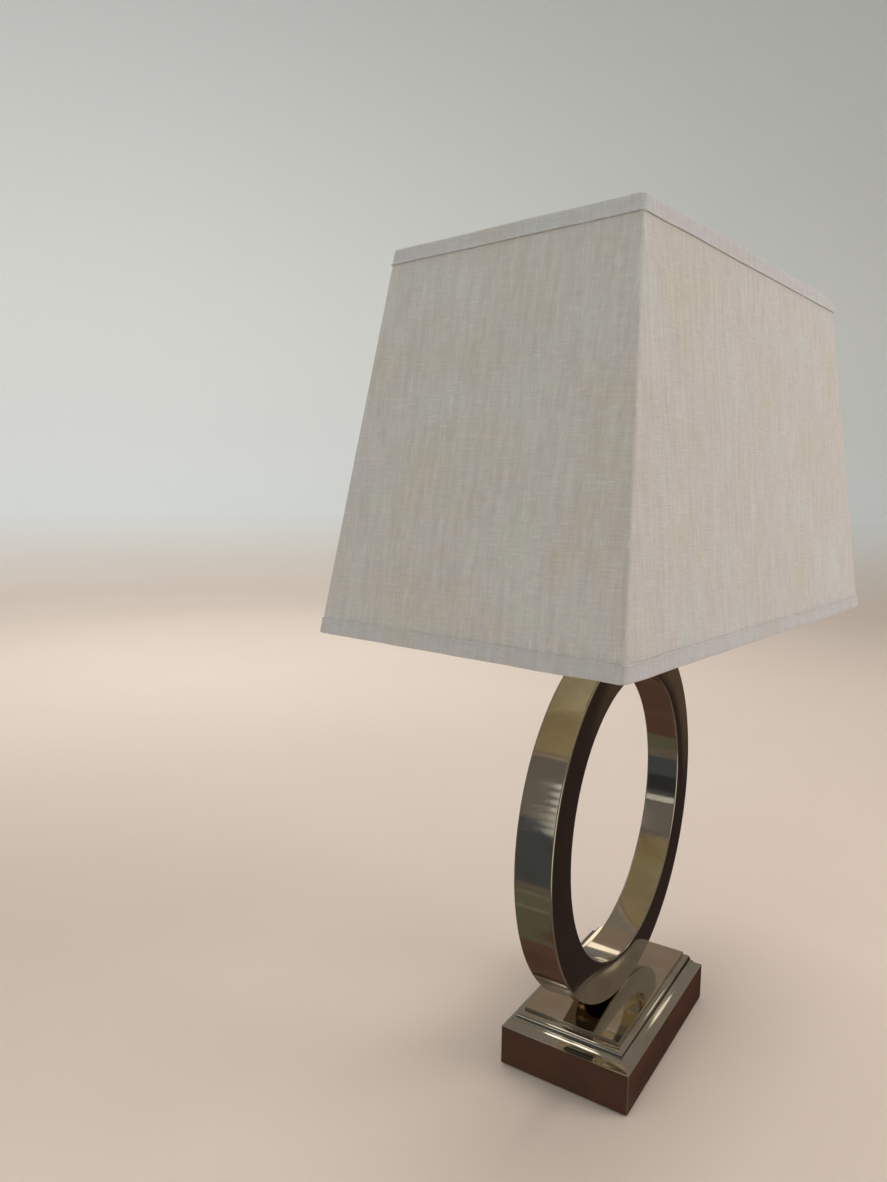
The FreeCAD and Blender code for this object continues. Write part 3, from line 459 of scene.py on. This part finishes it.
def three_point_arc(start, middle, end, steps):
    """Points from start to end along the circle through all three, without the start."""
    (ax, ay), (bx, by), (cx, cy) = start, middle, end
    d = 2 * (ax * (by - cy) + bx * (cy - ay) + cx * (ay - by))
    a2, b2, c2 = ax * ax + ay * ay, bx * bx + by * by, cx * cx + cy * cy
    ox = (a2 * (by - cy) + b2 * (cy - ay) + c2 * (ay - by)) / d
    oy = (a2 * (cx - bx) + b2 * (ax - cx) + c2 * (bx - ax)) / d
    radius = math.hypot(ax - ox, ay - oy)
    first, last = math.atan2(ay - oy, ax - ox), math.atan2(cy - oy, cx - ox)
    turn = (last - first + math.pi) % (2 * math.pi) - math.pi
    return [(ox + radius * math.cos(first + turn * k / steps),
             oy + radius * math.sin(first + turn * k / steps))
            for k in range(1, steps + 1)]


rim = [(0.0, 33.3), (0.9, 34.0)]
rim += three_point_arc((0.9, 34.0), (4.6, 36.2), (7.6, 39.4), 12) + [(8.6, 39.8)]
rim += three_point_arc((8.6, 39.8), (9.5, 43.2), (12.6, 45.4), 12)
rim += [(14.5, 45.4), (14.5, 33.3)]
rim_stations = [(plinth_half[0] - inset * MM, plinth_half[1] - inset * MM, up * MM)
                for inset, up in rim]
moulding = outline("moulding", rim_stations[0][:2], rim_stations[0][2])
raise_walls(rim_stations[0][:2], rim_stations[0][2], rim_stations[1:])
close_profile(moulding)
soften(moulding, rim_ease, steps=2, angle=20)
finish(moulding, nickel, "lamp", "nickel", "base_moulding")


# ---- Top plate ----------------------------------------------------------------------------------
# The 3 mm steel plate that the ring stands on, laid on the moulding and drawn down by the ring's
# threaded pipe. Its edges are eased, and it has the flattest polish on the lamp.
plate_half, plate_foot, plate_top = (0.0801, 0.0416), 0.0454, 0.0484
plate_edge = 0.0004
bpy.ops.object.select_all(action="DESELECT")
bpy.ops.mesh.primitive_cube_add(size=2, location=(0, 0, (plate_foot + plate_top) / 2))
top_plate = bpy.context.object
top_plate.name = top_plate.data.name = "top_plate"
bpy.ops.object.mode_set(mode="EDIT")
bpy.ops.transform.resize(value=(*plate_half, (plate_top - plate_foot) / 2))
bpy.ops.object.mode_set(mode="OBJECT")
bpy.ops.object.transform_apply(location=True, rotation=True, scale=True)
soften(top_plate, plate_edge, steps=4)
finish(top_plate, nickel, "lamp", "nickel", "base_top_plate")


# ---- Felt ---------------------------------------------------------------------------------------
# A pad of dark green wool felt, 2 mm thick, cut with shears and glued under the base. Its cut edge
# is furry and a little uneven.
felt_half, felt_thick, felt_corner = (0.091, 0.0525), 0.002, 0.0025
felt_drawn_in, felt_fray = 0.0003, 0.00022


def felt_cloth():
    made = bpy.data.materials.new("wool_felt")
    made.use_nodes = True
    tree = made.node_tree
    shader = tree.nodes["Principled BSDF"]
    shader.inputs["Roughness"].default_value = 0.95
    shader.inputs["Sheen Weight"].default_value = 0.5
    shader.inputs["Sheen Roughness"].default_value = 0.6
    place = node(tree, "ShaderNodeTexCoord", (-900, 0))
    fibre = node(tree, "ShaderNodeTexNoise", (-700, 0), Scale=1800.0, Detail=4.0, Distortion=2.5)
    cloud = node(tree, "ShaderNodeTexNoise", (-700, -250), Scale=60.0, Detail=3.0)
    both = node(tree, "ShaderNodeMath", (-500, -100), operation="MULTIPLY")
    tint = node(tree, "ShaderNodeValToRGB", (-300, 0))
    stops = tint.color_ramp.elements
    stops[0].position, stops[0].color = 0.12, (0.010, 0.018, 0.013, 1)
    stops[1].position, stops[1].color = 0.42, (0.040, 0.068, 0.048, 1)
    bump = node(tree, "ShaderNodeBump", (-300, -300), Strength=0.8, Distance=0.0003)
    link(tree, (place.outputs["Object"], fibre.inputs["Vector"]),
         (place.outputs["Object"], cloud.inputs["Vector"]),
         (fibre.outputs["Fac"], both.inputs[0]), (cloud.outputs["Fac"], both.inputs[1]),
         (both.outputs[0], tint.inputs["Fac"]),
         (tint.outputs["Color"], shader.inputs["Base Color"]),
         (fibre.outputs["Fac"], bump.inputs["Height"]),
         (bump.outputs["Normal"], shader.inputs["Normal"]))
    return made


felt = outline("felt_pad", felt_half, 0.0, corner=felt_corner, corner_steps=5, cuts=60)
raise_walls(felt_half, 0.0, ((felt_half[0], felt_half[1], felt_thick * 0.5),
                             (felt_half[0] - felt_drawn_in, felt_half[1] - felt_drawn_in,
                              felt_thick)))
bpy.ops.mesh.select_all(action="SELECT")
bpy.ops.mesh.fill_holes(sides=0)
bpy.ops.mesh.select_all(action="SELECT")
bpy.ops.mesh.normals_make_consistent(inside=False)
bpy.ops.object.mode_set(mode="OBJECT")
bpy.ops.object.transform_apply(location=True, rotation=True, scale=True)
for point in felt.data.vertices:
    wander = felt_fray * (noise.noise(point.co * 260.0) - 0.4)
    point.co.x -= wander * (1 if point.co.x > 0 else -1)
    point.co.y -= wander * (1 if point.co.y > 0 else -1)
finish(felt, felt_cloth(), "lamp", "felt", "base_felt_pad")


# ---- Base fittings ------------------------------------------------------------------------------
# Inside and under the base: a painted iron weight, a zinced cover and its screws, the threaded pipe
# that draws the ring down on its washer and nut, and the rubber grommet in the cord's inlet.
zinced = metal("zinced_steel", (0.52, 0.53, 0.54), (0.38, 0.38, 0.37), 0.26, 0.20)
brass = metal("turned_brass", (0.66, 0.47, 0.20), (0.47, 0.31, 0.13), 0.16, 0.22)
refinish(zinced, "base_bottom_cover", "base_cover_screws", "base_lock_washer", "ring_lower_boss",
         "ring_upper_boss")
refinish(brass, "base_nipple", "base_lock_nut", "neck_nipple")


def moulded(name, low, high, grain, rough, depth, metallic=0.0):
    """Cast, moulded or painted stuff: a grained surface between two colours."""
    made = bpy.data.materials.new(name)
    made.use_nodes = True
    tree = made.node_tree
    shader = tree.nodes["Principled BSDF"]
    shader.inputs["Metallic"].default_value = metallic
    place = node(tree, "ShaderNodeTexCoord", (-900, 0))
    grains = node(tree, "ShaderNodeTexNoise", (-700, 0), Scale=grain, Detail=4.0, Roughness=0.6)
    cloud = node(tree, "ShaderNodeTexNoise", (-700, -250), Scale=grain / 14, Detail=2.0)
    tint = node(tree, "ShaderNodeMix", (-350, 100), data_type="RGBA", A=(*low, 1), B=(*high, 1))
    wide = node(tree, "ShaderNodeMapRange", (-500, -250), From_Min=0.3, From_Max=0.7,
                To_Min=rough - 0.06, To_Max=rough + 0.08)
    bump = node(tree, "ShaderNodeBump", (-300, -450), Strength=0.5, Distance=depth)
    link(tree, (place.outputs["Object"], grains.inputs["Vector"]),
         (place.outputs["Object"], cloud.inputs["Vector"]),
         (cloud.outputs["Fac"], tint.inputs["Factor"]),
         (tint.outputs["Result"], shader.inputs["Base Color"]),
         (cloud.outputs["Fac"], wide.inputs["Value"]),
         (wide.outputs[0], shader.inputs["Roughness"]),
         (grains.outputs["Fac"], bump.inputs["Height"]),
         (bump.outputs["Normal"], shader.inputs["Normal"]))
    return made


refinish(moulded("painted_iron", (0.020, 0.019, 0.018), (0.045, 0.042, 0.040), 900.0, 0.55, 0.0002),
         "base_weight")
refinish(moulded("black_rubber", (0.012, 0.012, 0.012), (0.028, 0.027, 0.026), 2600.0, 0.62,
                 0.00004),
         "cord_inlet_grommet")
refinish(moulded("lead_sheath", (0.30, 0.26, 0.18), (0.44, 0.39, 0.28), 1400.0, 0.42, 0.00004),
         "internal_lead")


# ---- Ring ---------------------------------------------------------------------------------------
# The lamp's body: two flat ring plates and two rolled bands of sheet steel, brazed into a hollow
# ring, ground so the seams vanish, plated and polished. Its edges are eased by a little over 1 mm.
ring_height, ring_turns = 0.20265, 288
ring_out, ring_in = 0.1545, 0.1215
ring_half, ring_sheet, ring_seam, ring_edge = 0.01535, 0.0015, 0.00015, 0.0013


def rolled(name, profile, turns=ring_turns):
    """A closed profile of (radius, place along Y) turned about the ring's axis."""
    radius, along = profile[0]
    bpy.ops.object.select_all(action="DESELECT")
    bpy.ops.mesh.primitive_circle_add(vertices=turns, radius=radius,
                                      location=(0, along, ring_height),
                                      rotation=(math.pi / 2, 0, 0))
    piece = bpy.context.object
    piece.name = piece.data.name = name
    bpy.ops.object.mode_set(mode="EDIT")
    for wide, deep in profile[1:]:
        bpy.ops.mesh.extrude_edges_move(TRANSFORM_OT_translate={"value": (0, deep - along, 0)})
        bpy.ops.transform.resize(value=(wide / radius, 1, wide / radius),
                                 center_override=(0, deep, ring_height))
        radius, along = wide, deep
    close_profile(piece)
    bpy.ops.object.shade_smooth_by_angle(angle=math.radians(30))
    return piece


def eased(corner_radius, corner_along, in_way, along_way, size, steps=4):
    """Points round an outside corner, from the band's side to the plate's side."""
    return [(corner_radius + in_way * size * (1 - math.cos(math.pi / 2 * k / steps)),
             corner_along + along_way * size * (1 - math.sin(math.pi / 2 * k / steps)))
            for k in range(steps + 1)]


for side, name, node_name in ((-1, "ring_plate_front", "ring_front_face"),
                              (1, "ring_plate_back", "ring_back_face")):
    outer, back = side * ring_half, side * (ring_half - ring_sheet)
    profile = [(ring_out, back)] + eased(ring_out, outer, -1, -side, ring_edge)
    profile += list(reversed(eased(ring_in, outer, 1, -side, ring_edge))) + [(ring_in, back)]
    finish(rolled(name, profile), nickel, "lamp", "nickel", node_name)

band_half = ring_half - ring_sheet
finish(rolled("ring_band_outer", [(ring_out - ring_seam, -band_half),
                                  (ring_out - ring_seam, band_half),
                                  (ring_out - ring_sheet, band_half),
                                  (ring_out - ring_sheet, -band_half)]),
       nickel, "lamp", "nickel", "ring_outer_band")
finish(rolled("ring_band_inner", [(ring_in, -band_half), (ring_in, band_half),
                                  (ring_in + ring_sheet, band_half),
                                  (ring_in + ring_sheet, -band_half)]),
       nickel, "lamp", "nickel", "ring_inner_band")


# ---- Neck and harp ------------------------------------------------------------------------------
# A turned neck stands on the ring. On it sits the harp's saddle, with two loose ferrules that lock
# the bent wire harp; the harp's stud carries the shade.
refinish(nickel, "neck", "harp_saddle", "harp_wire", "harp_stud", "harp_ferrule_left",
         "harp_ferrule_right")


# ---- Socket and switch --------------------------------------------------------------------------
# A nickel plated socket shell and cap with a card liner, a moulded body with brass screws, a screw
# shell of aluminium, and a knob of phenolic on a brass stem.
socket_finish = metal("socket_nickel", (0.60, 0.56, 0.49), (0.48, 0.43, 0.36), 0.12, 0.16)
aluminium = metal("spun_aluminium", (0.74, 0.74, 0.73), (0.58, 0.58, 0.57), 0.22, 0.20)
phenolic = moulded("black_phenolic", (0.010, 0.009, 0.008), (0.026, 0.021, 0.017), 700.0, 0.30,
                   0.00003)
refinish(socket_finish, "socket_cap", "socket_shell")
refinish(moulded("pressed_card", (0.20, 0.13, 0.075), (0.31, 0.215, 0.125), 1500.0, 0.85, 0.0001),
         "socket_liner")
refinish(phenolic, "socket_body", "switch_knob", "bulb_insulator")
refinish(brass, "terminal_screws", "socket_contact", "switch_stem")
refinish(aluminium, "socket_screw_shell", "bulb_cap", "bulb_contact")


# ---- Bulb ---------------------------------------------------------------------------------------
# A bulb of thin glass, frosted inside, with its clear glass stem and a coiled tungsten filament on
# two legs. It screws into the socket.
def frosted_glass():
    made = bpy.data.materials.new("frosted_glass")
    made.use_nodes = True
    tree = made.node_tree
    shader = tree.nodes["Principled BSDF"]
    shader.inputs["IOR"].default_value = 1.5
    shader.inputs["Transmission Weight"].default_value = 0.55
    place = node(tree, "ShaderNodeTexCoord", (-900, 0))
    frost = node(tree, "ShaderNodeTexNoise", (-700, 0), Scale=900.0, Detail=3.0)
    cloud = node(tree, "ShaderNodeTexNoise", (-700, -250), Scale=30.0, Detail=2.0)
    tint = node(tree, "ShaderNodeMix", (-400, 100), data_type="RGBA", A=(0.86, 0.85, 0.81, 1),
                B=(0.93, 0.92, 0.90, 1))
    rough = node(tree, "ShaderNodeMapRange", (-400, -100), To_Min=0.38, To_Max=0.58)
    bump = node(tree, "ShaderNodeBump", (-400, -350), Strength=0.15, Distance=0.00005)
    link(tree, (place.outputs["Object"], frost.inputs["Vector"]),
         (place.outputs["Object"], cloud.inputs["Vector"]),
         (cloud.outputs["Fac"], tint.inputs["Factor"]),
         (tint.outputs["Result"], shader.inputs["Base Color"]),
         (frost.outputs["Fac"], rough.inputs["Value"]),
         (rough.outputs[0], shader.inputs["Roughness"]),
         (frost.outputs["Fac"], bump.inputs["Height"]),
         (bump.outputs["Normal"], shader.inputs["Normal"]))
    return made


def clear_glass():
    made = bpy.data.materials.new("clear_glass")
    made.use_nodes = True
    tree = made.node_tree
    shader = tree.nodes["Principled BSDF"]
    shader.inputs["IOR"].default_value = 1.5
    shader.inputs["Transmission Weight"].default_value = 1.0
    place = node(tree, "ShaderNodeTexCoord", (-700, 0))
    ripple = node(tree, "ShaderNodeTexNoise", (-500, 0), Scale=160.0, Detail=2.0)
    rough = node(tree, "ShaderNodeMapRange", (-300, 0), To_Min=0.01, To_Max=0.06)
    bump = node(tree, "ShaderNodeBump", (-300, -250), Strength=0.2, Distance=0.0001)
    link(tree, (place.outputs["Object"], ripple.inputs["Vector"]),
         (ripple.outputs["Fac"], rough.inputs["Value"]),
         (rough.outputs[0], shader.inputs["Roughness"]),
         (ripple.outputs["Fac"], bump.inputs["Height"]),
         (bump.outputs["Normal"], shader.inputs["Normal"]))
    return made


refinish(frosted_glass(), "bulb_glass")
refinish(clear_glass(), "bulb_stem")
refinish(metal("tungsten", (0.36, 0.35, 0.34), (0.24, 0.23, 0.22), 0.35, 0.2), "bulb_filament")


# ---- Shade liner --------------------------------------------------------------------------------
# Stiff white styrene sheet behind the linen, scored and folded at the corners. The linen hides
# it from the sides, and it shows as satin plastic from below and from above.
shade_foot, shade_crown = 0.3715, 0.6480
foot_half, crown_half = (0.2275, 0.126), (0.177, 0.100)
shade_turn = math.radians(-7.2)
tape_thick, linen_thick, liner_thick, layer_gap = 0.0007, 0.0006, 0.0005, 0.00005
liner_out = tape_thick + linen_thick + layer_gap
rim_clear = 0.0008
liner_corner, panel_cuts = 0.0028, 36
long_bow, short_bow, panel_ripple = 0.0010, 0.0006, 0.00022
rim_sag, rim_flutter = 0.00040, 0.00018


def shade_station(up, inset):
    """Half length, half width and height of the shade at a height, inside its outer face."""
    share = (up - shade_foot) / (shade_crown - shade_foot)
    return tuple(low + (high - low) * share - inset
                 for low, high in zip(foot_half, crown_half)) + (up,)


def shade_loop(name, profile, corner, cuts):
    """A piece round the shade: a closed profile of (inset, height), the shade still square."""
    stations = [shade_station(up, inset) for inset, up in profile]
    piece = outline(name, stations[0][:2], stations[0][2], corner=corner, corner_steps=7, cuts=cuts)
    raise_walls(stations[0][:2], stations[0][2], stations[1:])
    return close_profile(piece)


def hang(piece):
    """Lets the panels bow in a little, gives them a made shade's ripple, and turns the shade."""
    for point in piece.data.vertices:
        x, y, z = point.co
        share = min(max((z - shade_foot) / (shade_crown - shade_foot), 0.0), 1.0)
        wide, deep = shade_station(z, 0.0)[:2]
        bow = math.sin(math.pi * share)
        ripple = noise.noise(Vector((x * 14, y * 14, z * 9)))
        ripple += 0.4 * noise.noise(Vector((x * 55, y * 55, z * 20)))
        on_long = abs(y) / deep > abs(x) / wide
        along = min(abs(x) / wide if on_long else abs(y) / deep, 1.0)
        push = (long_bow if on_long else short_bow) * bow * (1 - along ** 2) + panel_ripple * ripple
        if on_long:
            point.co.y -= math.copysign(push, y)
        else:
            point.co.x -= math.copysign(push, x)
        sag = rim_sag * noise.noise(Vector((x * 22 + 3, y * 22, 0.0)))
        sag += rim_flutter * noise.noise(Vector((x * 90, y * 90, 5.0)))
        point.co.z += sag * (1 - 2 * share)
    piece.rotation_euler.z = shade_turn
    bpy.ops.object.transform_apply(location=True, rotation=True, scale=True)
    bpy.ops.object.shade_smooth_by_angle(angle=math.radians(40))
    return piece


def levels(low, high, steps):
    return [low + (high - low) * k / steps for k in range(steps + 1)]


def wall_profile(outside, thick, low, high, steps=14):
    """Up the outside and down the inside of a wall that follows the shade."""
    rising = levels(low, high, steps)
    return [(outside, up) for up in rising] + [(outside + thick, up) for up in reversed(rising)]


liner_wall = wall_profile(liner_out, liner_thick, shade_foot + rim_clear, shade_crown - rim_clear)
liner = hang(shade_loop("shade_styrene", liner_wall, liner_corner, panel_cuts))


def styrene_sheet():
    made = bpy.data.materials.new("styrene_sheet")
    made.use_nodes = True
    tree = made.node_tree
    shader = tree.nodes["Principled BSDF"]
    shader.inputs["Subsurface Weight"].default_value = 0.25
    shader.inputs["Subsurface Scale"].default_value = 0.004
    place = node(tree, "ShaderNodeTexCoord", (-900, 0))
    cloud = node(tree, "ShaderNodeTexNoise", (-700, 0), Scale=9.0, Detail=4.0)
    fine = node(tree, "ShaderNodeTexNoise", (-700, -250), Scale=700.0, Detail=2.0)
    # Cream yellow: painted warm light glowing through the linen; the sheet itself is white.
    tint = node(tree, "ShaderNodeMix", (-400, 100), data_type="RGBA", A=(0.82, 0.735, 0.53, 1),
                B=(0.87, 0.795, 0.61, 1))
    rough = node(tree, "ShaderNodeMapRange", (-400, -100), To_Min=0.34, To_Max=0.52)
    bump = node(tree, "ShaderNodeBump", (-400, -350), Strength=0.3, Distance=0.00004)
    link(tree, (place.outputs["Object"], cloud.inputs["Vector"]),
         (place.outputs["Object"], fine.inputs["Vector"]),
         (cloud.outputs["Fac"], tint.inputs["Factor"]),
         (tint.outputs["Result"], shader.inputs["Base Color"]),
         (cloud.outputs["Fac"], rough.inputs["Value"]),
         (rough.outputs[0], shader.inputs["Roughness"]),
         (fine.outputs["Fac"], bump.inputs["Height"]),
         (bump.outputs["Normal"], shader.inputs["Normal"]))
    return made


finish(liner, styrene_sheet(), "shade", "styrene", "shade_liner")


# ---- Linen cover --------------------------------------------------------------------------------
# Natural off-white linen laminated to the styrene, its threads level and upright on each side. The
# cloth is plain woven from thick and thin threads, unevenly bleached, and drawn tight round the
# corners.
def thread_map(piece):
    """A UV map in metres: along the side, and up the slope. Made before the shade is turned."""
    layer = piece.data.uv_layers.new(name="threads")
    wide_slope = math.hypot(1, (foot_half[0] - crown_half[0]) / (shade_crown - shade_foot))
    for face in piece.data.polygons:
        level = abs(face.normal.z) > 0.8
        long_side = abs(face.normal.y) > abs(face.normal.x)
        for corner in face.loop_indices:
            x, y, z = piece.data.vertices[piece.data.loops[corner].vertex_index].co
            along = x if long_side else y + 1.0
            up = y if level and long_side else x if level else z * wide_slope
            layer.data[corner].uv = (along, up)
    return piece


def weave():
    """Plain woven linen: crossing threads of uneven thickness, slubs and uneven bleaching."""
    tree, given, made = group_of(
        "linen_weave",
        (("Threads", "NodeSocketVector", None), ("Place", "NodeSocketVector", None),
         ("Pale", "NodeSocketColor", (0.74, 0.70, 0.63, 1)),
         ("Deep", "NodeSocketColor", (0.56, 0.51, 0.44, 1))),
        (("Color", "NodeSocketColor"), ("Height", "NodeSocketFloat")))

    def stretched(place, across, up, detail=2.0):
        scaled = node(tree, "ShaderNodeMapping", place, Scale=(across, up, 1.0))
        grain = node(tree, "ShaderNodeTexNoise", (place[0] + 180, place[1]), Scale=1.0,
                     Detail=detail)
        link(tree, (given.outputs["Threads"], scaled.inputs["Vector"]),
             (scaled.outputs[0], grain.inputs["Vector"]))
        return grain.outputs["Fac"]

    def ranged(value, low, high, to_low=0.0, to_high=1.0):
        made_range = node(tree, "ShaderNodeMapRange", (-500, 0), From_Min=low, From_Max=high,
                          To_Min=to_low, To_Max=to_high)
        link(tree, (value, made_range.inputs["Value"]))
        return made_range.outputs[0]

    def sums(first, second, operation="ADD"):
        both = node(tree, "ShaderNodeMath", (-300, 0), operation=operation)
        for k, value in enumerate((first, second)):
            if isinstance(value, float):
                both.inputs[k].default_value = value
            else:
                link(tree, (value, both.inputs[k]))
        return both.outputs[0]

    level_thread = stretched((-1000, 300), 60.0, 1000.0)
    upright_thread = stretched((-1000, 100), 1000.0, 60.0)
    level_slub = ranged(stretched((-1000, -100), 85.0, 560.0, 1.0), 0.62, 0.78)
    upright_slub = ranged(stretched((-1000, -300), 520.0, 80.0, 1.0), 0.62, 0.78)
    fine = stretched((-1000, -500), 2100.0, 2100.0, 1.0)
    cloud = node(tree, "ShaderNodeTexNoise", (-1000, -700), Scale=19.0, Detail=4.0, Roughness=0.65)
    link(tree, (given.outputs["Place"], cloud.inputs["Vector"]))
    streak = stretched((-1000, -600), 210.0, 20.0)
    threads = sums(sums(level_thread, upright_thread), sums(fine, streak))
    contrast = ranged(threads, 1.64, 2.36)
    slubs = sums(level_slub, upright_slub, "MAXIMUM")
    tone = sums(sums(contrast, 0.70, "MULTIPLY"), sums(slubs, 0.46, "MULTIPLY"))
    tint = node(tree, "ShaderNodeMix", (0, 200), data_type="RGBA")
    bleached = node(tree, "ShaderNodeMix", (180, 200), data_type="RGBA", blend_type="MULTIPLY")
    patches = node(tree, "ShaderNodeValToRGB", (-250, -600))
    stops = patches.color_ramp.elements
    stops[0].position, stops[0].color = 0.34, (0.985, 0.955, 0.875, 1)
    stops[1].position, stops[1].color = 0.66, (0.995, 1.02, 0.995, 1)
    stops.new(0.5).color = (0.995, 0.96, 0.965, 1)
    bleached.inputs["Factor"].default_value = 1.0
    link(tree, (tone, tint.inputs["Factor"]), (given.outputs["Deep"], tint.inputs["A"]),
         (given.outputs["Pale"], tint.inputs["B"]), (cloud.outputs["Fac"], patches.inputs["Fac"]),
         (tint.outputs["Result"], bleached.inputs["A"]),
         (patches.outputs["Color"], bleached.inputs["B"]),
         (bleached.outputs["Result"], made.inputs["Color"]),
         (sums(contrast, slubs), made.inputs["Height"]))
    return tree


weave_group = weave()


def linen_cloth(name, pale, deep):
    made = bpy.data.materials.new(name)
    made.use_nodes = True
    tree = made.node_tree
    shader = tree.nodes["Principled BSDF"]
    shader.inputs["Roughness"].default_value = 0.88
    shader.inputs["Specular IOR Level"].default_value = 0.25
    shader.inputs["Sheen Weight"].default_value = 0.12
    shader.inputs["Sheen Roughness"].default_value = 0.5
    threads = node(tree, "ShaderNodeUVMap", (-900, 0), uv_map="threads")
    place = node(tree, "ShaderNodeTexCoord", (-900, -200))
    cloth = node(tree, "ShaderNodeGroup", (-600, 0), node_tree=weave_group)
    cloth.inputs["Pale"].default_value, cloth.inputs["Deep"].default_value = (*pale, 1), (*deep, 1)
    bump = node(tree, "ShaderNodeBump", (-250, -250), Strength=0.8, Distance=0.00025)
    link(tree, (threads.outputs["UV"], cloth.inputs["Threads"]),
         (place.outputs["Object"], cloth.inputs["Place"]),
         (cloth.outputs["Color"], shader.inputs["Base Color"]),
         (cloth.outputs["Height"], bump.inputs["Height"]),
         (bump.outputs["Normal"], shader.inputs["Normal"]))
    return made


linen = linen_cloth("natural_linen", (0.765, 0.755, 0.725), (0.60, 0.58, 0.54))
cover_clear, cover_corner = 0.0007, 0.0036
cover_wall = wall_profile(tape_thick, linen_thick, shade_foot + cover_clear,
                          shade_crown - cover_clear)
cover = shade_loop("shade_linen", cover_wall, cover_corner, panel_cuts)
hang(thread_map(cover))
finish(cover, linen, "shade", "linen", "shade_fabric")


# ---- Tapes --------------------------------------------------------------------------------------
# Bias strips of the same linen, folded over the wires at both rims and glued: an outer leg with a
# turned under, raised hem, the fold round the rim, and a shorter leg inside.
tape_corner = 0.0042
tape_back, tape_front = 0.00655, 0.00585


def tape_profile(rim, way, lift):
    """(inset, height) round a tape; way is 1 above the foot rim and -1 below the crown rim."""
    points = (
        (0.0004, 11.0), (0.0001 - lift, 10.97), (-lift, 10.75), (-lift, 10.0), (-lift * 0.3, 9.6),
        (0.0, 9.2), (0.0, 5.5), (0.0, 1.5), (0.00012, 0.7), (0.00045, 0.22), (0.0010, 0.0),
        (0.0030, -0.05), (0.0052, 0.0), (0.0060, 0.25), (0.0064, 0.7), (tape_back, 1.4),
        (tape_back, 8.5), (tape_front, 8.5), (tape_front, 1.5), (0.0052, 0.85), (0.0030, 0.75),
        (0.0011, 0.85), (tape_thick, 1.3), (tape_thick, 8.8), (0.0004, 9.6))
    return [(inset, rim + way * up * MM) for inset, up in points]


for name, node_name, rim_height, way, lift, length in (
        ("shade_tape_top", "shade_top_trim", shade_crown, -1, 0.00045, 1.108),
        ("shade_tape_bottom", "shade_bottom_trim", shade_foot, 1, 0.00030, 1.414)):
    tape = shade_loop(name, tape_profile(rim_height, way, lift), tape_corner, 44)
    hang(thread_map(tape))
    finish(tape, linen_cloth("linen_tape_" + name[-3:], (0.70, 0.705, 0.705), (0.575, 0.57, 0.56)),
           "shade", "linen", node_name)


# ---- Shade frame --------------------------------------------------------------------------------
# Steel wire bent to both rims, and a washer on four welded arms that hangs the shade on the harp,
# all painted white.
wire_paint = moulded("painted_wire", (0.66, 0.65, 0.61), (0.74, 0.73, 0.70), 500.0, 0.36, 0.00006)
refinish(wire_paint, "shade_top_frame", "shade_bottom_frame", "shade_spider_washer",
         "shade_spider_arms")


# ---- Finial -------------------------------------------------------------------------------------
# A nickel plated ball, turned and polished, on a threaded brass bush. It screws on the harp's stud
# and holds the shade down.
refinish(nickel, "finial_knob")
refinish(brass, "finial_insert")
